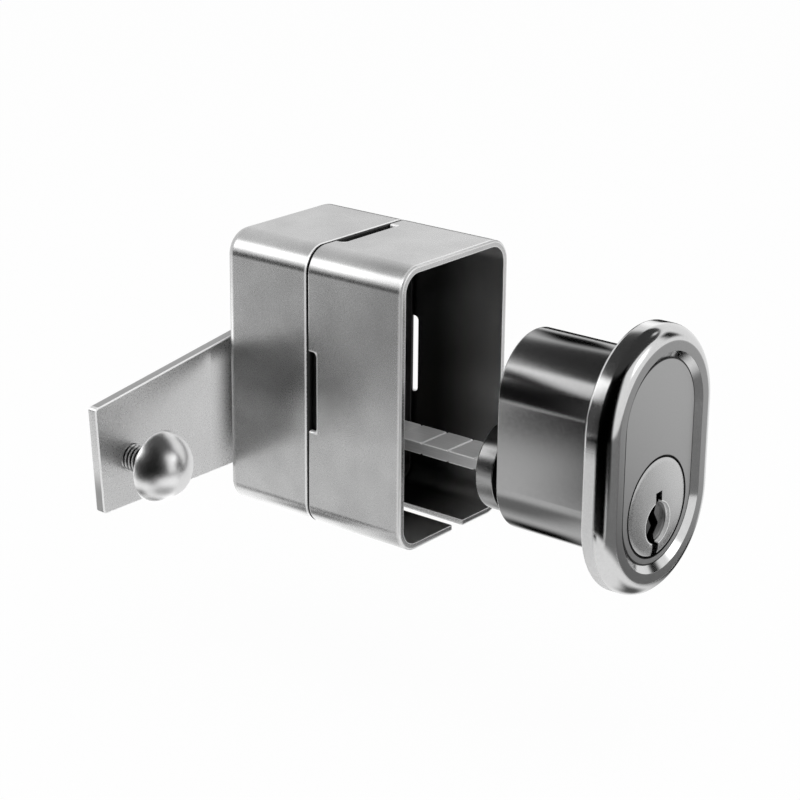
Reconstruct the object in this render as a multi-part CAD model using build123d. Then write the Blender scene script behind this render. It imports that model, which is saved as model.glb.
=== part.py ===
from build123d import *
import math
import os

# Surface-mounted lock case: a two-part steel box behind a door, an oval pin cylinder in front of
# it, a flat tail bar between them and a swinging locking arm with an adjustable domed stud.
# All lengths are millimetres. The plug's axis runs along Y through the origin, which lies in the
# plane where the box meets the door. +Y points to the back of the box, +Z up, and the key goes
# in from -Y. Most pieces are stacked along Y, so their places are written as front and back.

# The box
CASE_WIDTH = 36.0
CASE_HEIGHT = 62.0
CASE_RISE = 12.0            # centre of the box above the plug's axis
CASE_WALL = 1.5
CASE_CORNER = 5.5           # outer radius of the four long corners
RING_DEPTH = 25.0
COVER_DEPTH = 23.2
COVER_BACK_ROUND = 2.5
SEAM_ROUND = 0.45           # small rounding along the rims of both halves
BUTT_GAP = 3.8              # where the ends of the bent strip meet, in the bottom wall
BUTT_GAP_OFFSET = 2.0
NOTCH_LENGTH = 17.6         # prying notches in the ring's rear rim
NOTCH_DEPTH = 2.2
NOTCH_CORNER = 1.0
LIP_THICKNESS = 0.9         # the cover's inner lip, which slides into the ring
LIP_REACH = 1.1
LIP_SEAT = 3.0
LIP_CLEARANCE = 0.1
LIP_ROOT = 0.5              # free length of the lip behind the cover's rim
LIP_SINK = 0.2              # how far its seat reaches into the wall

# The frame inside the cover
PLATE_THICKNESS = 2.0
PLATE_CLEARANCE = 0.3
PLATE_CORNER = 3.0
PILLAR_DIAMETER = 5.0
PILLAR_INSET = 5.5          # from the outside of the box to the pillars' axes
M3_DIAMETER = 3.0
M3_HEAD_DIAMETER = 5.5
M3_HEAD_HEIGHT = 2.0
M3_LENGTH = 8.0
SCREW_END_ROOM = 0.5        # between a screw's end and the bottom of its hole
HEAD_EDGE_ROUND = 0.4       # of a pan head's height
DRIVE_DEPTH = 0.55          # of a pan head's height
DRIVE_SPAN = 0.6            # of a pan head's diameter
DRIVE_WIDTH = 0.25          # of the screw's diameter
CONNECTOR_SPACING = 13.0    # two M5 screws of the installer tie the box to the cylinder
CONNECTOR_RISE = 23.5
CONNECTOR_CLEARANCE_HOLE = 5.5
CONNECTOR_ACCESS_HOLE = 9.0
CONNECTOR_TAP = 4.2
CONNECTOR_TAP_DEPTH = 12.0

# The hub that the tail bar turns
RUNNING_CLEARANCE = 0.05    # on the radius
FACE_CLEARANCE = 0.2
HUB_DIAMETER = 16.0
HUB_FLANGE_DIAMETER = 27.0
HUB_FLANGE_THICKNESS = 3.0
HUB_NOSE = 1.0              # how far the hub stands in front of the frame plate
SHAFT_DIAMETER = 10.0
SHAFT_SQUARE = 7.0
BUSH_WALL = 1.5
BUSH_FLANGE = 1.0
BUSH_FLANGE_WIDTH = 0.75
COVER_BUSH_STANDOUT = 1.1
SPRING_WASHER_SPACE = 1.2
SPRING_WASHER_THICKNESS = 0.4
SPRING_WASHER_PLAY = 0.3    # round the shaft
STOP_PIN_DIAMETER = 2.5
STOP_PIN_RADIUS = 11.7      # from the hub's axis
TURN = 90.0                 # degrees the key turns the arm

# The locking arm and its stud
ARM_GAP = 3.7               # behind the box
ARM_THICKNESS = 2.4
ARM_TIP = 52.0              # from the plug's axis to the square end's lower corner
ARM_TIP_LEAN = 1.5          # how much further the upper corner reaches
ARM_LOW = 12.4              # lower edge below the axis
ARM_TIP_TOP = 11.4          # upper edge above the axis at the tip
ARM_TAPER = 8.3             # degrees between the two long edges
ARM_TIP_ROUND = 1.0
SPACER_DIAMETER = 16.0
ARM_WASHER_DIAMETER = 14.0
ARM_WASHER_THICKNESS = 1.0
ARM_SCREW_DIAMETER = 4.0
ARM_SCREW_LENGTH = 8.0
ARM_SCREW_HEAD_DIAMETER = 8.0
ARM_SCREW_HEAD_HEIGHT = 2.8
STUD_REACH = 43.5           # from the plug's axis along the arm
STUD_DROP = 2.0
STUD_DIAMETER = 6.0         # M6 x 1
STUD_PITCH = 1.0
THREAD_DEPTH = 0.55
THREAD_CREST = 0.16
STUD_STANDOUT = 7.3         # arm's face to the rim of the cap
STUD_NUT_WIDTH = 10.0
STUD_NUT_THICKNESS = 3.2
STUD_TAIL = 1.0
STUD_SLOT_WIDTH = 1.0
DOME_DIAMETER = 15.1
DOME_HEIGHT = 6.2
DOME_RIM = 0.6
DOME_EDGE_ROUND = 0.36
STUD_NECK_DIAMETER = 4.6
STUD_COLLAR_DIAMETER = 5.8
STUD_COLLAR_LENGTH = 1.0
STUD_NECK_LENGTH = 1.2

# The oval cylinder
OVAL_WIDTH = 25.0
OVAL_HEIGHT = 43.0
OVAL_RISE = 9.5             # centre of the oval above the plug's axis
DRUM_GAP = 20.4             # from the box's mouth to the cylinder's rear face
DRUM_LENGTH = 30.7
DRUM_ROUND = 0.4
COLLAR_WIDTH = 38.2
COLLAR_DEPTH = 6.5
COLLAR_PROUD = 1.0          # how far the collar stands in front of the oval face
COLLAR_ROUND = 3.3
COLLAR_BACK_ROUND = 0.8
COLLAR_CLEARANCE = 0.1
COLLAR_MOUTH = 1.5          # how much the collar's hole widens towards its front
COLLAR_MOUTH_DEPTH = 1.1
CLIP_WIRE = 1.2
CLIP_SETBACK = 1.6          # behind the oval face

# The plug, its pins and what it drives
PLUG_HEAD_DIAMETER = 20.8
PLUG_HEAD_DEPTH = 3.2
PLUG_PROUD = 0.3
PLUG_BEVEL = 0.5
PLUG_BEVEL_DEPTH = 0.25
PLUG_DIAMETER = 16.0
PLUG_TAIL = 3.0             # behind the cylinder's rear face
KEYWAY_WIDTH = 1.9
KEYWAY_LENGTH = 26.0
KEYWAY_TOP = (0.2, 3.2)
KEYWAY_BENDS = [(0.1, 4.6), (-0.85, 1.6), (0.67, -0.8), (-0.85, -2.6), (-0.58, -3.6)]
KEY_RECESS_DIAMETER = 8.8
KEY_RECESS_OFFSET = 0.2     # the bends above are taken from the recess's centre
KEY_RECESS_DROP = 3.4
KEY_RECESS_DEPTH = 1.2
KEY_RECESS_BEVEL = 0.96
PIN_COUNT = 5
PIN_PITCH = 4.5
FIRST_PIN = 4.6             # from the oval face
PIN_DIAMETER = 3.0
PIN_POINT = 0.9             # bevel of the key pins' lower ends
DRIVER_PIN_LENGTH = 6.0
CHAMBER_HEIGHT = 25.5       # top of the pin chambers above the axis
SHEAR_GAP = 0.2
PIN_LOW = 3.6               # lowest point of the key pins above the axis
SPRING_DIAMETER = 2.6
SPRING_WIRE = 0.35
SPRING_TURNS = 8
SPRING_COVER_WIDTH = 5.0
SPRING_COVER_THICKNESS = 1.8
RETAINING_RING_THICKNESS = 1.0
RETAINING_RING_DIAMETER = 19.0
RETAINING_GROOVE_DIAMETER = 14.4
DISC_DIAMETER = 19.4
DISC_THICKNESS = 4.4
DISC_SCREW_DIAMETER = 2.5
DISC_SCREW_SPACING = 10.4
DISC_SCREW_LENGTH = 6.0
DISC_SCREW_SINK = 1.75      # depth of the counterbores
DISC_SCREW_HEAD_DIAMETER = 4.8
DISC_SCREW_HEAD_HEIGHT = 1.5
BAR_WIDTH = 9.0
BAR_THICKNESS = 2.6
BAR_ROOT = 3.4              # how deep the bar sits in the plug
BAR_REACH = 35.5            # how far it reaches behind the box's mouth
BAR_SLOT_PLAY = 0.2
BAR_SCORE_PITCH = 7.0
BAR_SCORE_WIDTH = 0.6
BAR_SCORE_DEPTH = 0.3
BAR_FIRST_SCORE = -9.0
SLIDING_CLEARANCE = 0.02    # between pieces that turn or slide on flat faces
CUT_MARGIN = 1.0            # how far a cut runs past the faces that it opens

# Places along Y that follow from the sizes above
CASE_BACK = RING_DEPTH + COVER_DEPTH
COVER_INSIDE = CASE_BACK - CASE_WALL
PLATE_FRONT = RING_DEPTH + LIP_SEAT + FACE_CLEARANCE
PLATE_BACK = PLATE_FRONT + PLATE_THICKNESS
FLANGE_FRONT = PLATE_BACK + BUSH_FLANGE + FACE_CLEARANCE
FLANGE_BACK = FLANGE_FRONT + HUB_FLANGE_THICKNESS
SHOULDER = COVER_INSIDE - BUSH_FLANGE - SPRING_WASHER_SPACE
ARM_FRONT = CASE_BACK + ARM_GAP
ARM_BACK = ARM_FRONT + ARM_THICKNESS
DRUM_BACK = -DRUM_GAP
DRUM_FACE = DRUM_BACK - DRUM_LENGTH
COLLAR_FRONT = DRUM_FACE - COLLAR_PROUD
COLLAR_BACK = COLLAR_FRONT + COLLAR_DEPTH
PLUG_FACE = DRUM_FACE - PLUG_PROUD
PLUG_BACK = DRUM_BACK + PLUG_TAIL
DISC_BACK = PLUG_BACK + DISC_THICKNESS
CAP_BACK = ARM_FRONT - STUD_STANDOUT
STUD_BACK = ARM_BACK + STUD_NUT_THICKNESS + STUD_TAIL
PIN_PLACES = [DRUM_FACE + FIRST_PIN + PIN_PITCH * number for number in range(PIN_COUNT)]
CONNECTOR_PLACES = [(side * CONNECTOR_SPACING / 2, CONNECTOR_RISE) for side in (-1, 1)]
PILLAR_PLACES = [
    (
        side * (CASE_WIDTH / 2 - PILLAR_INSET),
        CASE_RISE + level * (CASE_HEIGHT / 2 - PILLAR_INSET - CASE_WALL / 2),
    )
    for side in (-1, 1)
    for level in (-1, 1)
]

os.makedirs("parts", exist_ok=True)


def slab(sketch, front, back):
    """The solid of a sketch drawn in X and Z, from y = front to y = back."""
    plane = Plane(origin=(0, back, 0), x_dir=(1, 0, 0), z_dir=(0, -1, 0))
    return extrude(plane * sketch, amount=back - front)


def disc(diameter, front, back, x=0.0, z=0.0):
    """A round bar along Y."""
    return slab(Pos(x, z) * Circle(diameter / 2), front, back)


def tube(outer, inner, front, back, x=0.0, z=0.0):
    """A round tube along Y."""
    return slab(Pos(x, z) * (Circle(outer / 2) - Circle(inner / 2)), front, back)


def turned(points, x=0.0, z=0.0):
    """A body turned about a line along Y, from its half section's (radius, y) corners."""
    outline = Plane.XY * make_face(Polyline(*points, close=True))
    return Pos(x, 0, z) * revolve(outline, Axis.Y)


def case_outline(inset):
    """The box's outline, moved inwards by inset."""
    width = CASE_WIDTH - 2 * inset
    height = CASE_HEIGHT - 2 * inset
    return Pos(0, CASE_RISE) * RectangleRounded(width, height, CASE_CORNER - inset)


def oval_outline(growth):
    """The cylinder's upright oval, moved outwards by growth."""
    return Pos(0, OVAL_RISE) * SlotOverall(
        OVAL_HEIGHT + 2 * growth, OVAL_WIDTH + 2 * growth, rotation=90
    )


def edges_at(solid, y):
    """The edges that lie wholly in one plane across Y."""
    return solid.edges().filter_by_position(Axis.Y, y, y)


def pan_head_screw(diameter, length, head_diameter, head_height, seat, direction, x, z):
    """A cross-slotted screw along Y. Its head seats at y = seat, its shank runs along direction."""
    head_end = seat - direction * head_height
    head = disc(head_diameter, min(seat, head_end), max(seat, head_end), x, z)
    head = fillet(edges_at(head, head_end), head_height * HEAD_EDGE_ROUND)
    shank_end = seat + direction * length
    shank = disc(diameter, min(seat, shank_end), max(seat, shank_end), x, z)
    slot_end = head_end + direction * head_height * DRIVE_DEPTH
    span = head_diameter * DRIVE_SPAN
    width = diameter * DRIVE_WIDTH
    for turned_by in (0, 90):
        slot = Pos(x, z) * Rectangle(span, width, rotation=turned_by)
        head -= slab(slot, min(head_end, slot_end), max(head_end, slot_end))
    return head + shank


def front_ring():
    """A steel strip bent round to a box without front or back, its ends apart below."""
    ring = slab(case_outline(0), 0, RING_DEPTH)
    ring = fillet(edges_at(ring, 0) + edges_at(ring, RING_DEPTH), SEAM_ROUND)
    ring -= slab(case_outline(CASE_WALL), -CUT_MARGIN, RING_DEPTH + CUT_MARGIN)
    across = 2 * (CASE_WALL + CUT_MARGIN)
    gap = Box(BUTT_GAP, RING_DEPTH + 2 * CUT_MARGIN, across)
    ring -= Pos(BUTT_GAP_OFFSET, RING_DEPTH / 2, CASE_RISE - CASE_HEIGHT / 2) * gap
    notch = Box(NOTCH_LENGTH, 2 * NOTCH_DEPTH, across)
    inner_corners = notch.edges().filter_by(Axis.Z).group_by(Axis.Y)[0]
    notch = fillet(inner_corners, NOTCH_CORNER)
    ring -= Pos(0, RING_DEPTH, CASE_RISE + CASE_HEIGHT / 2) * notch
    side_notch = Rot(0, 90, 0) * notch
    for side in (-1, 1):
        ring -= Pos(side * CASE_WIDTH / 2, RING_DEPTH, CASE_RISE) * side_notch
    return ring


def rear_cover():
    """A drawn cup with a closed back and an inner lip that slides into the ring."""
    cover = slab(case_outline(0), RING_DEPTH, CASE_BACK)
    cover = fillet(edges_at(cover, CASE_BACK), COVER_BACK_ROUND)
    cover = fillet(edges_at(cover, RING_DEPTH), SEAM_ROUND)
    cavity = slab(case_outline(CASE_WALL), RING_DEPTH - CUT_MARGIN, COVER_INSIDE)
    cavity = fillet(edges_at(cavity, COVER_INSIDE), COVER_BACK_ROUND - CASE_WALL)
    cover -= cavity
    lip_outside = CASE_WALL + LIP_CLEARANCE
    lip_inside = lip_outside + LIP_THICKNESS
    seat_front = RING_DEPTH + LIP_ROOT
    lip = slab(case_outline(lip_outside), RING_DEPTH - LIP_REACH, seat_front)
    lip += slab(case_outline(CASE_WALL - LIP_SINK), seat_front, RING_DEPTH + LIP_SEAT)
    lip -= slab(case_outline(lip_inside), 0, CASE_BACK)
    cover += lip
    front = COVER_INSIDE - CUT_MARGIN
    back = CASE_BACK + CUT_MARGIN
    cover -= disc(SHAFT_DIAMETER + 2 * BUSH_WALL, front, back)
    for x, z in CONNECTOR_PLACES:
        cover -= disc(CONNECTOR_ACCESS_HOLE, front, back, x, z)
    return cover


def chassis_plate():
    """The plate that carries the hub, with the holes for the installer's two screws."""
    inset = CASE_WALL + LIP_CLEARANCE + LIP_THICKNESS + PLATE_CLEARANCE
    outline = Pos(0, CASE_RISE) * RectangleRounded(
        CASE_WIDTH - 2 * inset, CASE_HEIGHT - 2 * inset, PLATE_CORNER
    )
    plate = slab(outline, PLATE_FRONT, PLATE_BACK)
    front = PLATE_FRONT - CUT_MARGIN
    back = PLATE_BACK + CUT_MARGIN
    plate -= disc(HUB_DIAMETER + 2 * BUSH_WALL, front, back)
    plate -= disc(STOP_PIN_DIAMETER, front, back, 0, STOP_PIN_RADIUS)
    for x, z in CONNECTOR_PLACES:
        plate -= disc(CONNECTOR_CLEARANCE_HOLE, front, back, x, z)
    for x, z in PILLAR_PLACES:
        plate -= disc(M3_DIAMETER + 2 * RUNNING_CLEARANCE, front, back, x, z)
    return plate


def chassis_pillars():
    """Four pillars, welded to the cover's back, that the plate is screwed to."""
    pillars = []
    for x, z in PILLAR_PLACES:
        pillar = disc(PILLAR_DIAMETER, PLATE_BACK, COVER_INSIDE, x, z)
        hole = M3_DIAMETER + 2 * RUNNING_CLEARANCE
        hole_end = PLATE_FRONT + M3_LENGTH + SCREW_END_ROOM
        pillar -= disc(hole, PLATE_BACK - CUT_MARGIN, hole_end, x, z)
        pillars.append(pillar)
    return pillars


def chassis_screws():
    """The screws that hold the plate on its pillars."""
    return [
        pan_head_screw(
            M3_DIAMETER, M3_LENGTH, M3_HEAD_DIAMETER, M3_HEAD_HEIGHT, PLATE_FRONT, 1, x, z
        )
        for x, z in PILLAR_PLACES
    ]


def plate_bush():
    """The hub's front bearing, in the frame plate."""
    inner = HUB_DIAMETER + 2 * RUNNING_CLEARANCE
    outer = HUB_DIAMETER + 2 * BUSH_WALL
    bush = tube(outer, inner, PLATE_FRONT, PLATE_BACK)
    return bush + tube(outer + 2 * BUSH_FLANGE_WIDTH, inner, PLATE_BACK, PLATE_BACK + BUSH_FLANGE)


def cover_bush():
    """The hub's rear bearing, in the cover's back."""
    inner = SHAFT_DIAMETER + 2 * RUNNING_CLEARANCE
    outer = SHAFT_DIAMETER + 2 * BUSH_WALL
    bush = tube(outer, inner, COVER_INSIDE, CASE_BACK + COVER_BUSH_STANDOUT)
    flange_diameter = HUB_DIAMETER + 2 * BUSH_FLANGE_WIDTH
    return bush + tube(flange_diameter, inner, COVER_INSIDE - BUSH_FLANGE, COVER_INSIDE)


def spring_washer():
    """A dished washer that presses the hub forwards and keeps the arm where it is put."""
    front = SHOULDER + SLIDING_CLEARANCE
    back = SHOULDER + SPRING_WASHER_SPACE - SLIDING_CLEARANCE
    inner = SHAFT_DIAMETER / 2 + SPRING_WASHER_PLAY
    outer = HUB_DIAMETER / 2
    thickness = SPRING_WASHER_THICKNESS
    return turned(
        [(inner, front), (inner, front + thickness), (outer, back), (outer, back - thickness)]
    )


def stop_pin():
    """The pin that ends the hub's turn at both limits."""
    return disc(STOP_PIN_DIAMETER, PLATE_FRONT, FLANGE_BACK - FACE_CLEARANCE, 0, STOP_PIN_RADIUS)


def stop_slot():
    """The sector cut from the hub's flange, in which the stop pin stands."""
    half_pin = math.degrees(math.asin(STOP_PIN_DIAMETER / 2 / STOP_PIN_RADIUS))
    margin = half_pin + math.degrees(FACE_CLEARANCE / STOP_PIN_RADIUS)
    first = 90 - TURN - margin
    last = 90 + margin
    far = 2 * HUB_FLANGE_DIAMETER
    corners = [(0, 0)]
    steps = 4
    for step in range(steps + 1):
        angle = math.radians(first + (last - first) * step / steps)
        corners.append((far * math.cos(angle), far * math.sin(angle)))
    wedge = make_face(Polyline(*corners, close=True))
    inner = STOP_PIN_RADIUS - STOP_PIN_DIAMETER / 2 - FACE_CLEARANCE / 2
    band = Circle(HUB_FLANGE_DIAMETER) - Circle(inner)
    return slab(band & wedge, FLANGE_FRONT - CUT_MARGIN, FLANGE_BACK + CUT_MARGIN)


def bar_slot(front, back):
    """The slot that the tail bar slides in."""
    return slab(
        Rectangle(BAR_WIDTH + 2 * BAR_SLOT_PLAY, BAR_THICKNESS + 2 * BAR_SLOT_PLAY), front, back
    )


def drive_hub():
    """The hub: slotted for the tail bar, stopped by its flange, squared for the arm."""
    hub = disc(HUB_DIAMETER, PLATE_FRONT - HUB_NOSE, SHOULDER)
    hub += disc(HUB_FLANGE_DIAMETER, FLANGE_FRONT, FLANGE_BACK)
    hub += disc(SHAFT_DIAMETER, SHOULDER, ARM_FRONT)
    hub += slab(Rectangle(SHAFT_SQUARE, SHAFT_SQUARE), ARM_FRONT, ARM_BACK - FACE_CLEARANCE)
    hub -= stop_slot()
    hub -= bar_slot(PLATE_FRONT - HUB_NOSE - CUT_MARGIN, SHOULDER)
    screw_hole = ARM_SCREW_DIAMETER + 2 * RUNNING_CLEARANCE
    screw_end = ARM_BACK + ARM_WASHER_THICKNESS - ARM_SCREW_LENGTH
    hub -= disc(screw_hole, screw_end - SCREW_END_ROOM, ARM_BACK + CUT_MARGIN)
    return hub


def arm_spacer():
    """A washer round the shaft between the cover's bush and the arm."""
    return tube(
        SPACER_DIAMETER,
        SHAFT_DIAMETER + 2 * RUNNING_CLEARANCE,
        CASE_BACK + COVER_BUSH_STANDOUT + FACE_CLEARANCE / 2,
        ARM_FRONT,
    )


def arm_outline():
    """The arm's outline: a tip square to its middle line, two long edges and a round end."""
    slope = math.radians(ARM_TAPER)
    tip_top = (-ARM_TIP - ARM_TIP_LEAN, ARM_TIP_TOP)
    top_at_axis = ARM_TIP_TOP - tip_top[0] * math.tan(slope)
    # The round end touches both long edges, with its centre above the plug's axis.
    radius = (top_at_axis + ARM_LOW) * math.cos(slope) / (1 + math.cos(slope))
    centre = radius - ARM_LOW
    tangent = (-radius * math.sin(slope), centre + radius * math.cos(slope))
    outline = [
        Line((0, -ARM_LOW), (-ARM_TIP, -ARM_LOW)),
        Line((-ARM_TIP, -ARM_LOW), tip_top),
        Line(tip_top, tangent),
        ThreePointArc(tangent, (radius, centre), (0, -ARM_LOW)),
    ]
    return make_face(outline)


def locking_arm():
    """The flat arm that swings behind the door frame."""
    arm = slab(arm_outline(), ARM_FRONT, ARM_BACK)
    tip_corners = arm.edges().filter_by(Axis.Y).sort_by(Axis.X)[:2]
    arm = fillet(tip_corners, ARM_TIP_ROUND)
    front = ARM_FRONT - CUT_MARGIN
    back = ARM_BACK + CUT_MARGIN
    square = SHAFT_SQUARE + 2 * RUNNING_CLEARANCE
    arm -= slab(Rectangle(square, square), front, back)
    arm -= disc(STUD_DIAMETER + 2 * RUNNING_CLEARANCE, front, back, -STUD_REACH, -STUD_DROP)
    return arm


def arm_washer():
    """The washer under the arm screw."""
    hole = ARM_SCREW_DIAMETER + 2 * RUNNING_CLEARANCE
    return tube(ARM_WASHER_DIAMETER, hole, ARM_BACK, ARM_BACK + ARM_WASHER_THICKNESS)


def arm_screw():
    """The screw that clamps the arm on the hub's square."""
    return pan_head_screw(
        ARM_SCREW_DIAMETER,
        ARM_SCREW_LENGTH,
        ARM_SCREW_HEAD_DIAMETER,
        ARM_SCREW_HEAD_HEIGHT,
        ARM_BACK + ARM_WASHER_THICKNESS,
        -1,
        0,
        0,
    )


def stud_nut():
    """The thin nut welded behind the arm, which gives the stud its thread."""
    hexagon = RegularPolygon(STUD_NUT_WIDTH / 2, 6, major_radius=False)
    outline = Pos(-STUD_REACH, -STUD_DROP) * hexagon
    nut = slab(outline, ARM_BACK, ARM_BACK + STUD_NUT_THICKNESS)
    hole = STUD_DIAMETER + 2 * RUNNING_CLEARANCE
    return nut - disc(hole, ARM_BACK - CUT_MARGIN, STUD_BACK, -STUD_REACH, -STUD_DROP)


def stud_head_depth():
    """How deep the stud's neck and collar reach into the cap."""
    return STUD_NECK_LENGTH + STUD_COLLAR_LENGTH


def stud_cap():
    """The domed cap that bears on the frame, crimped over the stud's collar."""
    rim = DOME_DIAMETER / 2
    ball = (rim**2 + DOME_HEIGHT**2) / (2 * DOME_HEIGHT)
    rim_front = CAP_BACK - DOME_RIM
    top = rim_front - DOME_HEIGHT
    halfway = math.asin(rim / ball) / 2
    bulge = (ball * math.sin(halfway), top + ball * (1 - math.cos(halfway)))
    outline = [
        Line((0, top), (0, CAP_BACK)),
        Line((0, CAP_BACK), (rim, CAP_BACK)),
        Line((rim, CAP_BACK), (rim, rim_front)),
        ThreePointArc((rim, rim_front), bulge, (0, top)),
    ]
    cap = revolve(Plane.XY * make_face(outline), Axis.Y)
    cap = fillet(edges_at(cap, CAP_BACK), DOME_EDGE_ROUND)
    neck_bore = STUD_NECK_DIAMETER + 2 * RUNNING_CLEARANCE
    neck = disc(neck_bore, CAP_BACK - STUD_NECK_LENGTH, CAP_BACK + CUT_MARGIN)
    collar_front = CAP_BACK - stud_head_depth() - FACE_CLEARANCE / 2
    collar_back = CAP_BACK - STUD_NECK_LENGTH + FACE_CLEARANCE / 2
    collar = disc(STUD_COLLAR_DIAMETER + 2 * RUNNING_CLEARANCE, collar_front, collar_back)
    return Pos(-STUD_REACH, 0, -STUD_DROP) * (cap - neck - collar)


def threaded_stud():
    """The M6 stud: thread ridges at its pitch, a collar in the cap and a slot in its tail."""
    crest = STUD_DIAMETER / 2
    root = crest - THREAD_DEPTH
    start = CAP_BACK + FACE_CLEARANCE
    collar_front = CAP_BACK - stud_head_depth()
    collar_back = CAP_BACK - STUD_NECK_LENGTH
    points = [
        (0, collar_front),
        (STUD_COLLAR_DIAMETER / 2, collar_front),
        (STUD_COLLAR_DIAMETER / 2, collar_back),
        (STUD_NECK_DIAMETER / 2, collar_back),
        (STUD_NECK_DIAMETER / 2, start),
        (root, start),
    ]
    ridges = int((STUD_BACK - start) / STUD_PITCH)
    for ridge in range(ridges):
        low = start + STUD_PITCH * ridge
        flank = (STUD_PITCH - THREAD_CREST) / 2
        points.append((crest, low + flank))
        points.append((crest, low + flank + THREAD_CREST))
        points.append((root, low + STUD_PITCH))
    points.append((root, STUD_BACK))
    points.append((0, STUD_BACK))
    stud = turned(points, -STUD_REACH, -STUD_DROP)
    slot = Pos(-STUD_REACH, -STUD_DROP) * Rectangle(STUD_DIAMETER + CUT_MARGIN, STUD_SLOT_WIDTH)
    return stud - slab(slot, STUD_BACK - STUD_TAIL, STUD_BACK + CUT_MARGIN)


def clip_path():
    """The oval line round which the collar clip runs."""
    plane = Plane(origin=(0, DRUM_FACE + CLIP_SETBACK, 0), x_dir=(1, 0, 0), z_dir=(0, -1, 0))
    return (plane * oval_outline(0)).wire()


def clip_ring(wire):
    """A round wire of the given diameter along the clip's line."""
    path = clip_path()
    section = Plane(path @ 0, z_dir=path % 0) * Circle(wire / 2)
    return sweep(section, path=path)


def cylinder_body():
    """The oval body: the plug's bore, a row of pin chambers and two tapped holes behind."""
    body = slab(oval_outline(0), DRUM_FACE, DRUM_BACK)
    body = fillet(edges_at(body, DRUM_BACK), DRUM_ROUND)
    front = DRUM_FACE - CUT_MARGIN
    back = DRUM_BACK + CUT_MARGIN
    body -= disc(PLUG_DIAMETER + 2 * RUNNING_CLEARANCE, front, back)
    head_bore = PLUG_HEAD_DIAMETER + 4 * RUNNING_CLEARANCE
    head_back = PLUG_FACE + PLUG_HEAD_DEPTH + 2 * SLIDING_CLEARANCE
    body -= disc(head_bore, front, head_back)
    chamber = Circle(PIN_DIAMETER / 2 + 2 * RUNNING_CLEARANCE)
    for y in PIN_PLACES:
        body -= Pos(0, y, 0) * extrude(chamber, amount=CHAMBER_HEIGHT)
    body -= spring_cover_block(RUNNING_CLEARANCE)
    for x, z in CONNECTOR_PLACES:
        body -= disc(CONNECTOR_TAP, DRUM_BACK - CONNECTOR_TAP_DEPTH, back, x, z)
    body -= clip_ring(CLIP_WIRE + 2 * RUNNING_CLEARANCE)
    return body


def spring_cover_block(growth):
    """The strip over the pin chambers, grown all round for its slot."""
    front = DRUM_FACE + FIRST_PIN - PIN_DIAMETER
    middle = CHAMBER_HEIGHT + SPRING_COVER_THICKNESS / 2
    width = SPRING_COVER_WIDTH + 2 * growth
    height = SPRING_COVER_THICKNESS + 2 * growth
    return slab(Pos(0, middle) * Rectangle(width, height), front - growth, DRUM_BACK)


def spring_cover():
    """The strip that closes the pin chambers, slid in from behind."""
    return spring_cover_block(0)


def cylinder_collar():
    """The rounded oval collar round the cylinder's front, which seats on the door."""
    growth = (COLLAR_WIDTH - OVAL_WIDTH) / 2
    collar = slab(oval_outline(growth), COLLAR_FRONT, COLLAR_BACK)
    collar = fillet(edges_at(collar, COLLAR_FRONT), COLLAR_ROUND)
    collar = fillet(edges_at(collar, COLLAR_BACK), COLLAR_BACK_ROUND)
    front = COLLAR_FRONT - CUT_MARGIN
    back = COLLAR_BACK + CUT_MARGIN
    collar -= slab(oval_outline(COLLAR_CLEARANCE), front, back)
    lip = collar.faces().filter_by(Axis.Y).sort_by(Axis.Y)[0]
    inner_rim = lip.inner_wires()[0].edges()
    collar = chamfer(inner_rim, COLLAR_MOUTH, COLLAR_MOUTH_DEPTH, reference=lip)
    return collar - clip_ring(CLIP_WIRE + 4 * RUNNING_CLEARANCE)


def plug():
    """The plug: a broad face with the keyway, and a core that carries the key pins."""
    head = disc(PLUG_HEAD_DIAMETER, PLUG_FACE, PLUG_FACE + PLUG_HEAD_DEPTH)
    head = chamfer(edges_at(head, PLUG_FACE), PLUG_BEVEL_DEPTH, PLUG_BEVEL)
    core = disc(PLUG_DIAMETER, PLUG_FACE + PLUG_HEAD_DEPTH, PLUG_BACK)
    body = head + core
    ring_front = DRUM_BACK + SLIDING_CLEARANCE
    ring_back = ring_front + RETAINING_RING_THICKNESS + 2 * SLIDING_CLEARANCE
    groove_outside = PLUG_DIAMETER + CUT_MARGIN
    body -= tube(groove_outside, RETAINING_GROOVE_DIAMETER, ring_front, ring_back)
    # The warding: a slot that zigzags down the face and runs out below.
    bends = [(KEY_RECESS_OFFSET + x, z - KEY_RECESS_DROP) for x, z in KEYWAY_BENDS]
    way_out = (bends[-1][0], -PLUG_HEAD_DIAMETER / 2 - CUT_MARGIN)
    keyway = trace(Polyline(KEYWAY_TOP, *bends, way_out), line_width=KEYWAY_WIDTH)
    body -= slab(keyway, PLUG_FACE - CUT_MARGIN, PLUG_FACE + KEYWAY_LENGTH)
    floor = PLUG_FACE + KEY_RECESS_DEPTH
    recess = disc(KEY_RECESS_DIAMETER, PLUG_FACE, floor, KEY_RECESS_OFFSET, -KEY_RECESS_DROP)
    body -= chamfer(edges_at(recess, floor), KEY_RECESS_BEVEL)
    bore = Circle(PIN_DIAMETER / 2 + 2 * RUNNING_CLEARANCE)
    for y in PIN_PLACES:
        body -= Pos(0, y, 0) * extrude(bore, amount=PLUG_DIAMETER)
    back = PLUG_BACK + CUT_MARGIN
    body -= slab(Rectangle(BAR_WIDTH, BAR_THICKNESS), PLUG_BACK - BAR_ROOT, back)
    screw_end = DISC_BACK - DISC_SCREW_SINK - DISC_SCREW_LENGTH
    for level in (-1, 1):
        hole = DISC_SCREW_DIAMETER + 2 * RUNNING_CLEARANCE
        z = level * DISC_SCREW_SPACING / 2
        body -= disc(hole, screw_end - SCREW_END_ROOM, back, 0, z)
    return body


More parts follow.
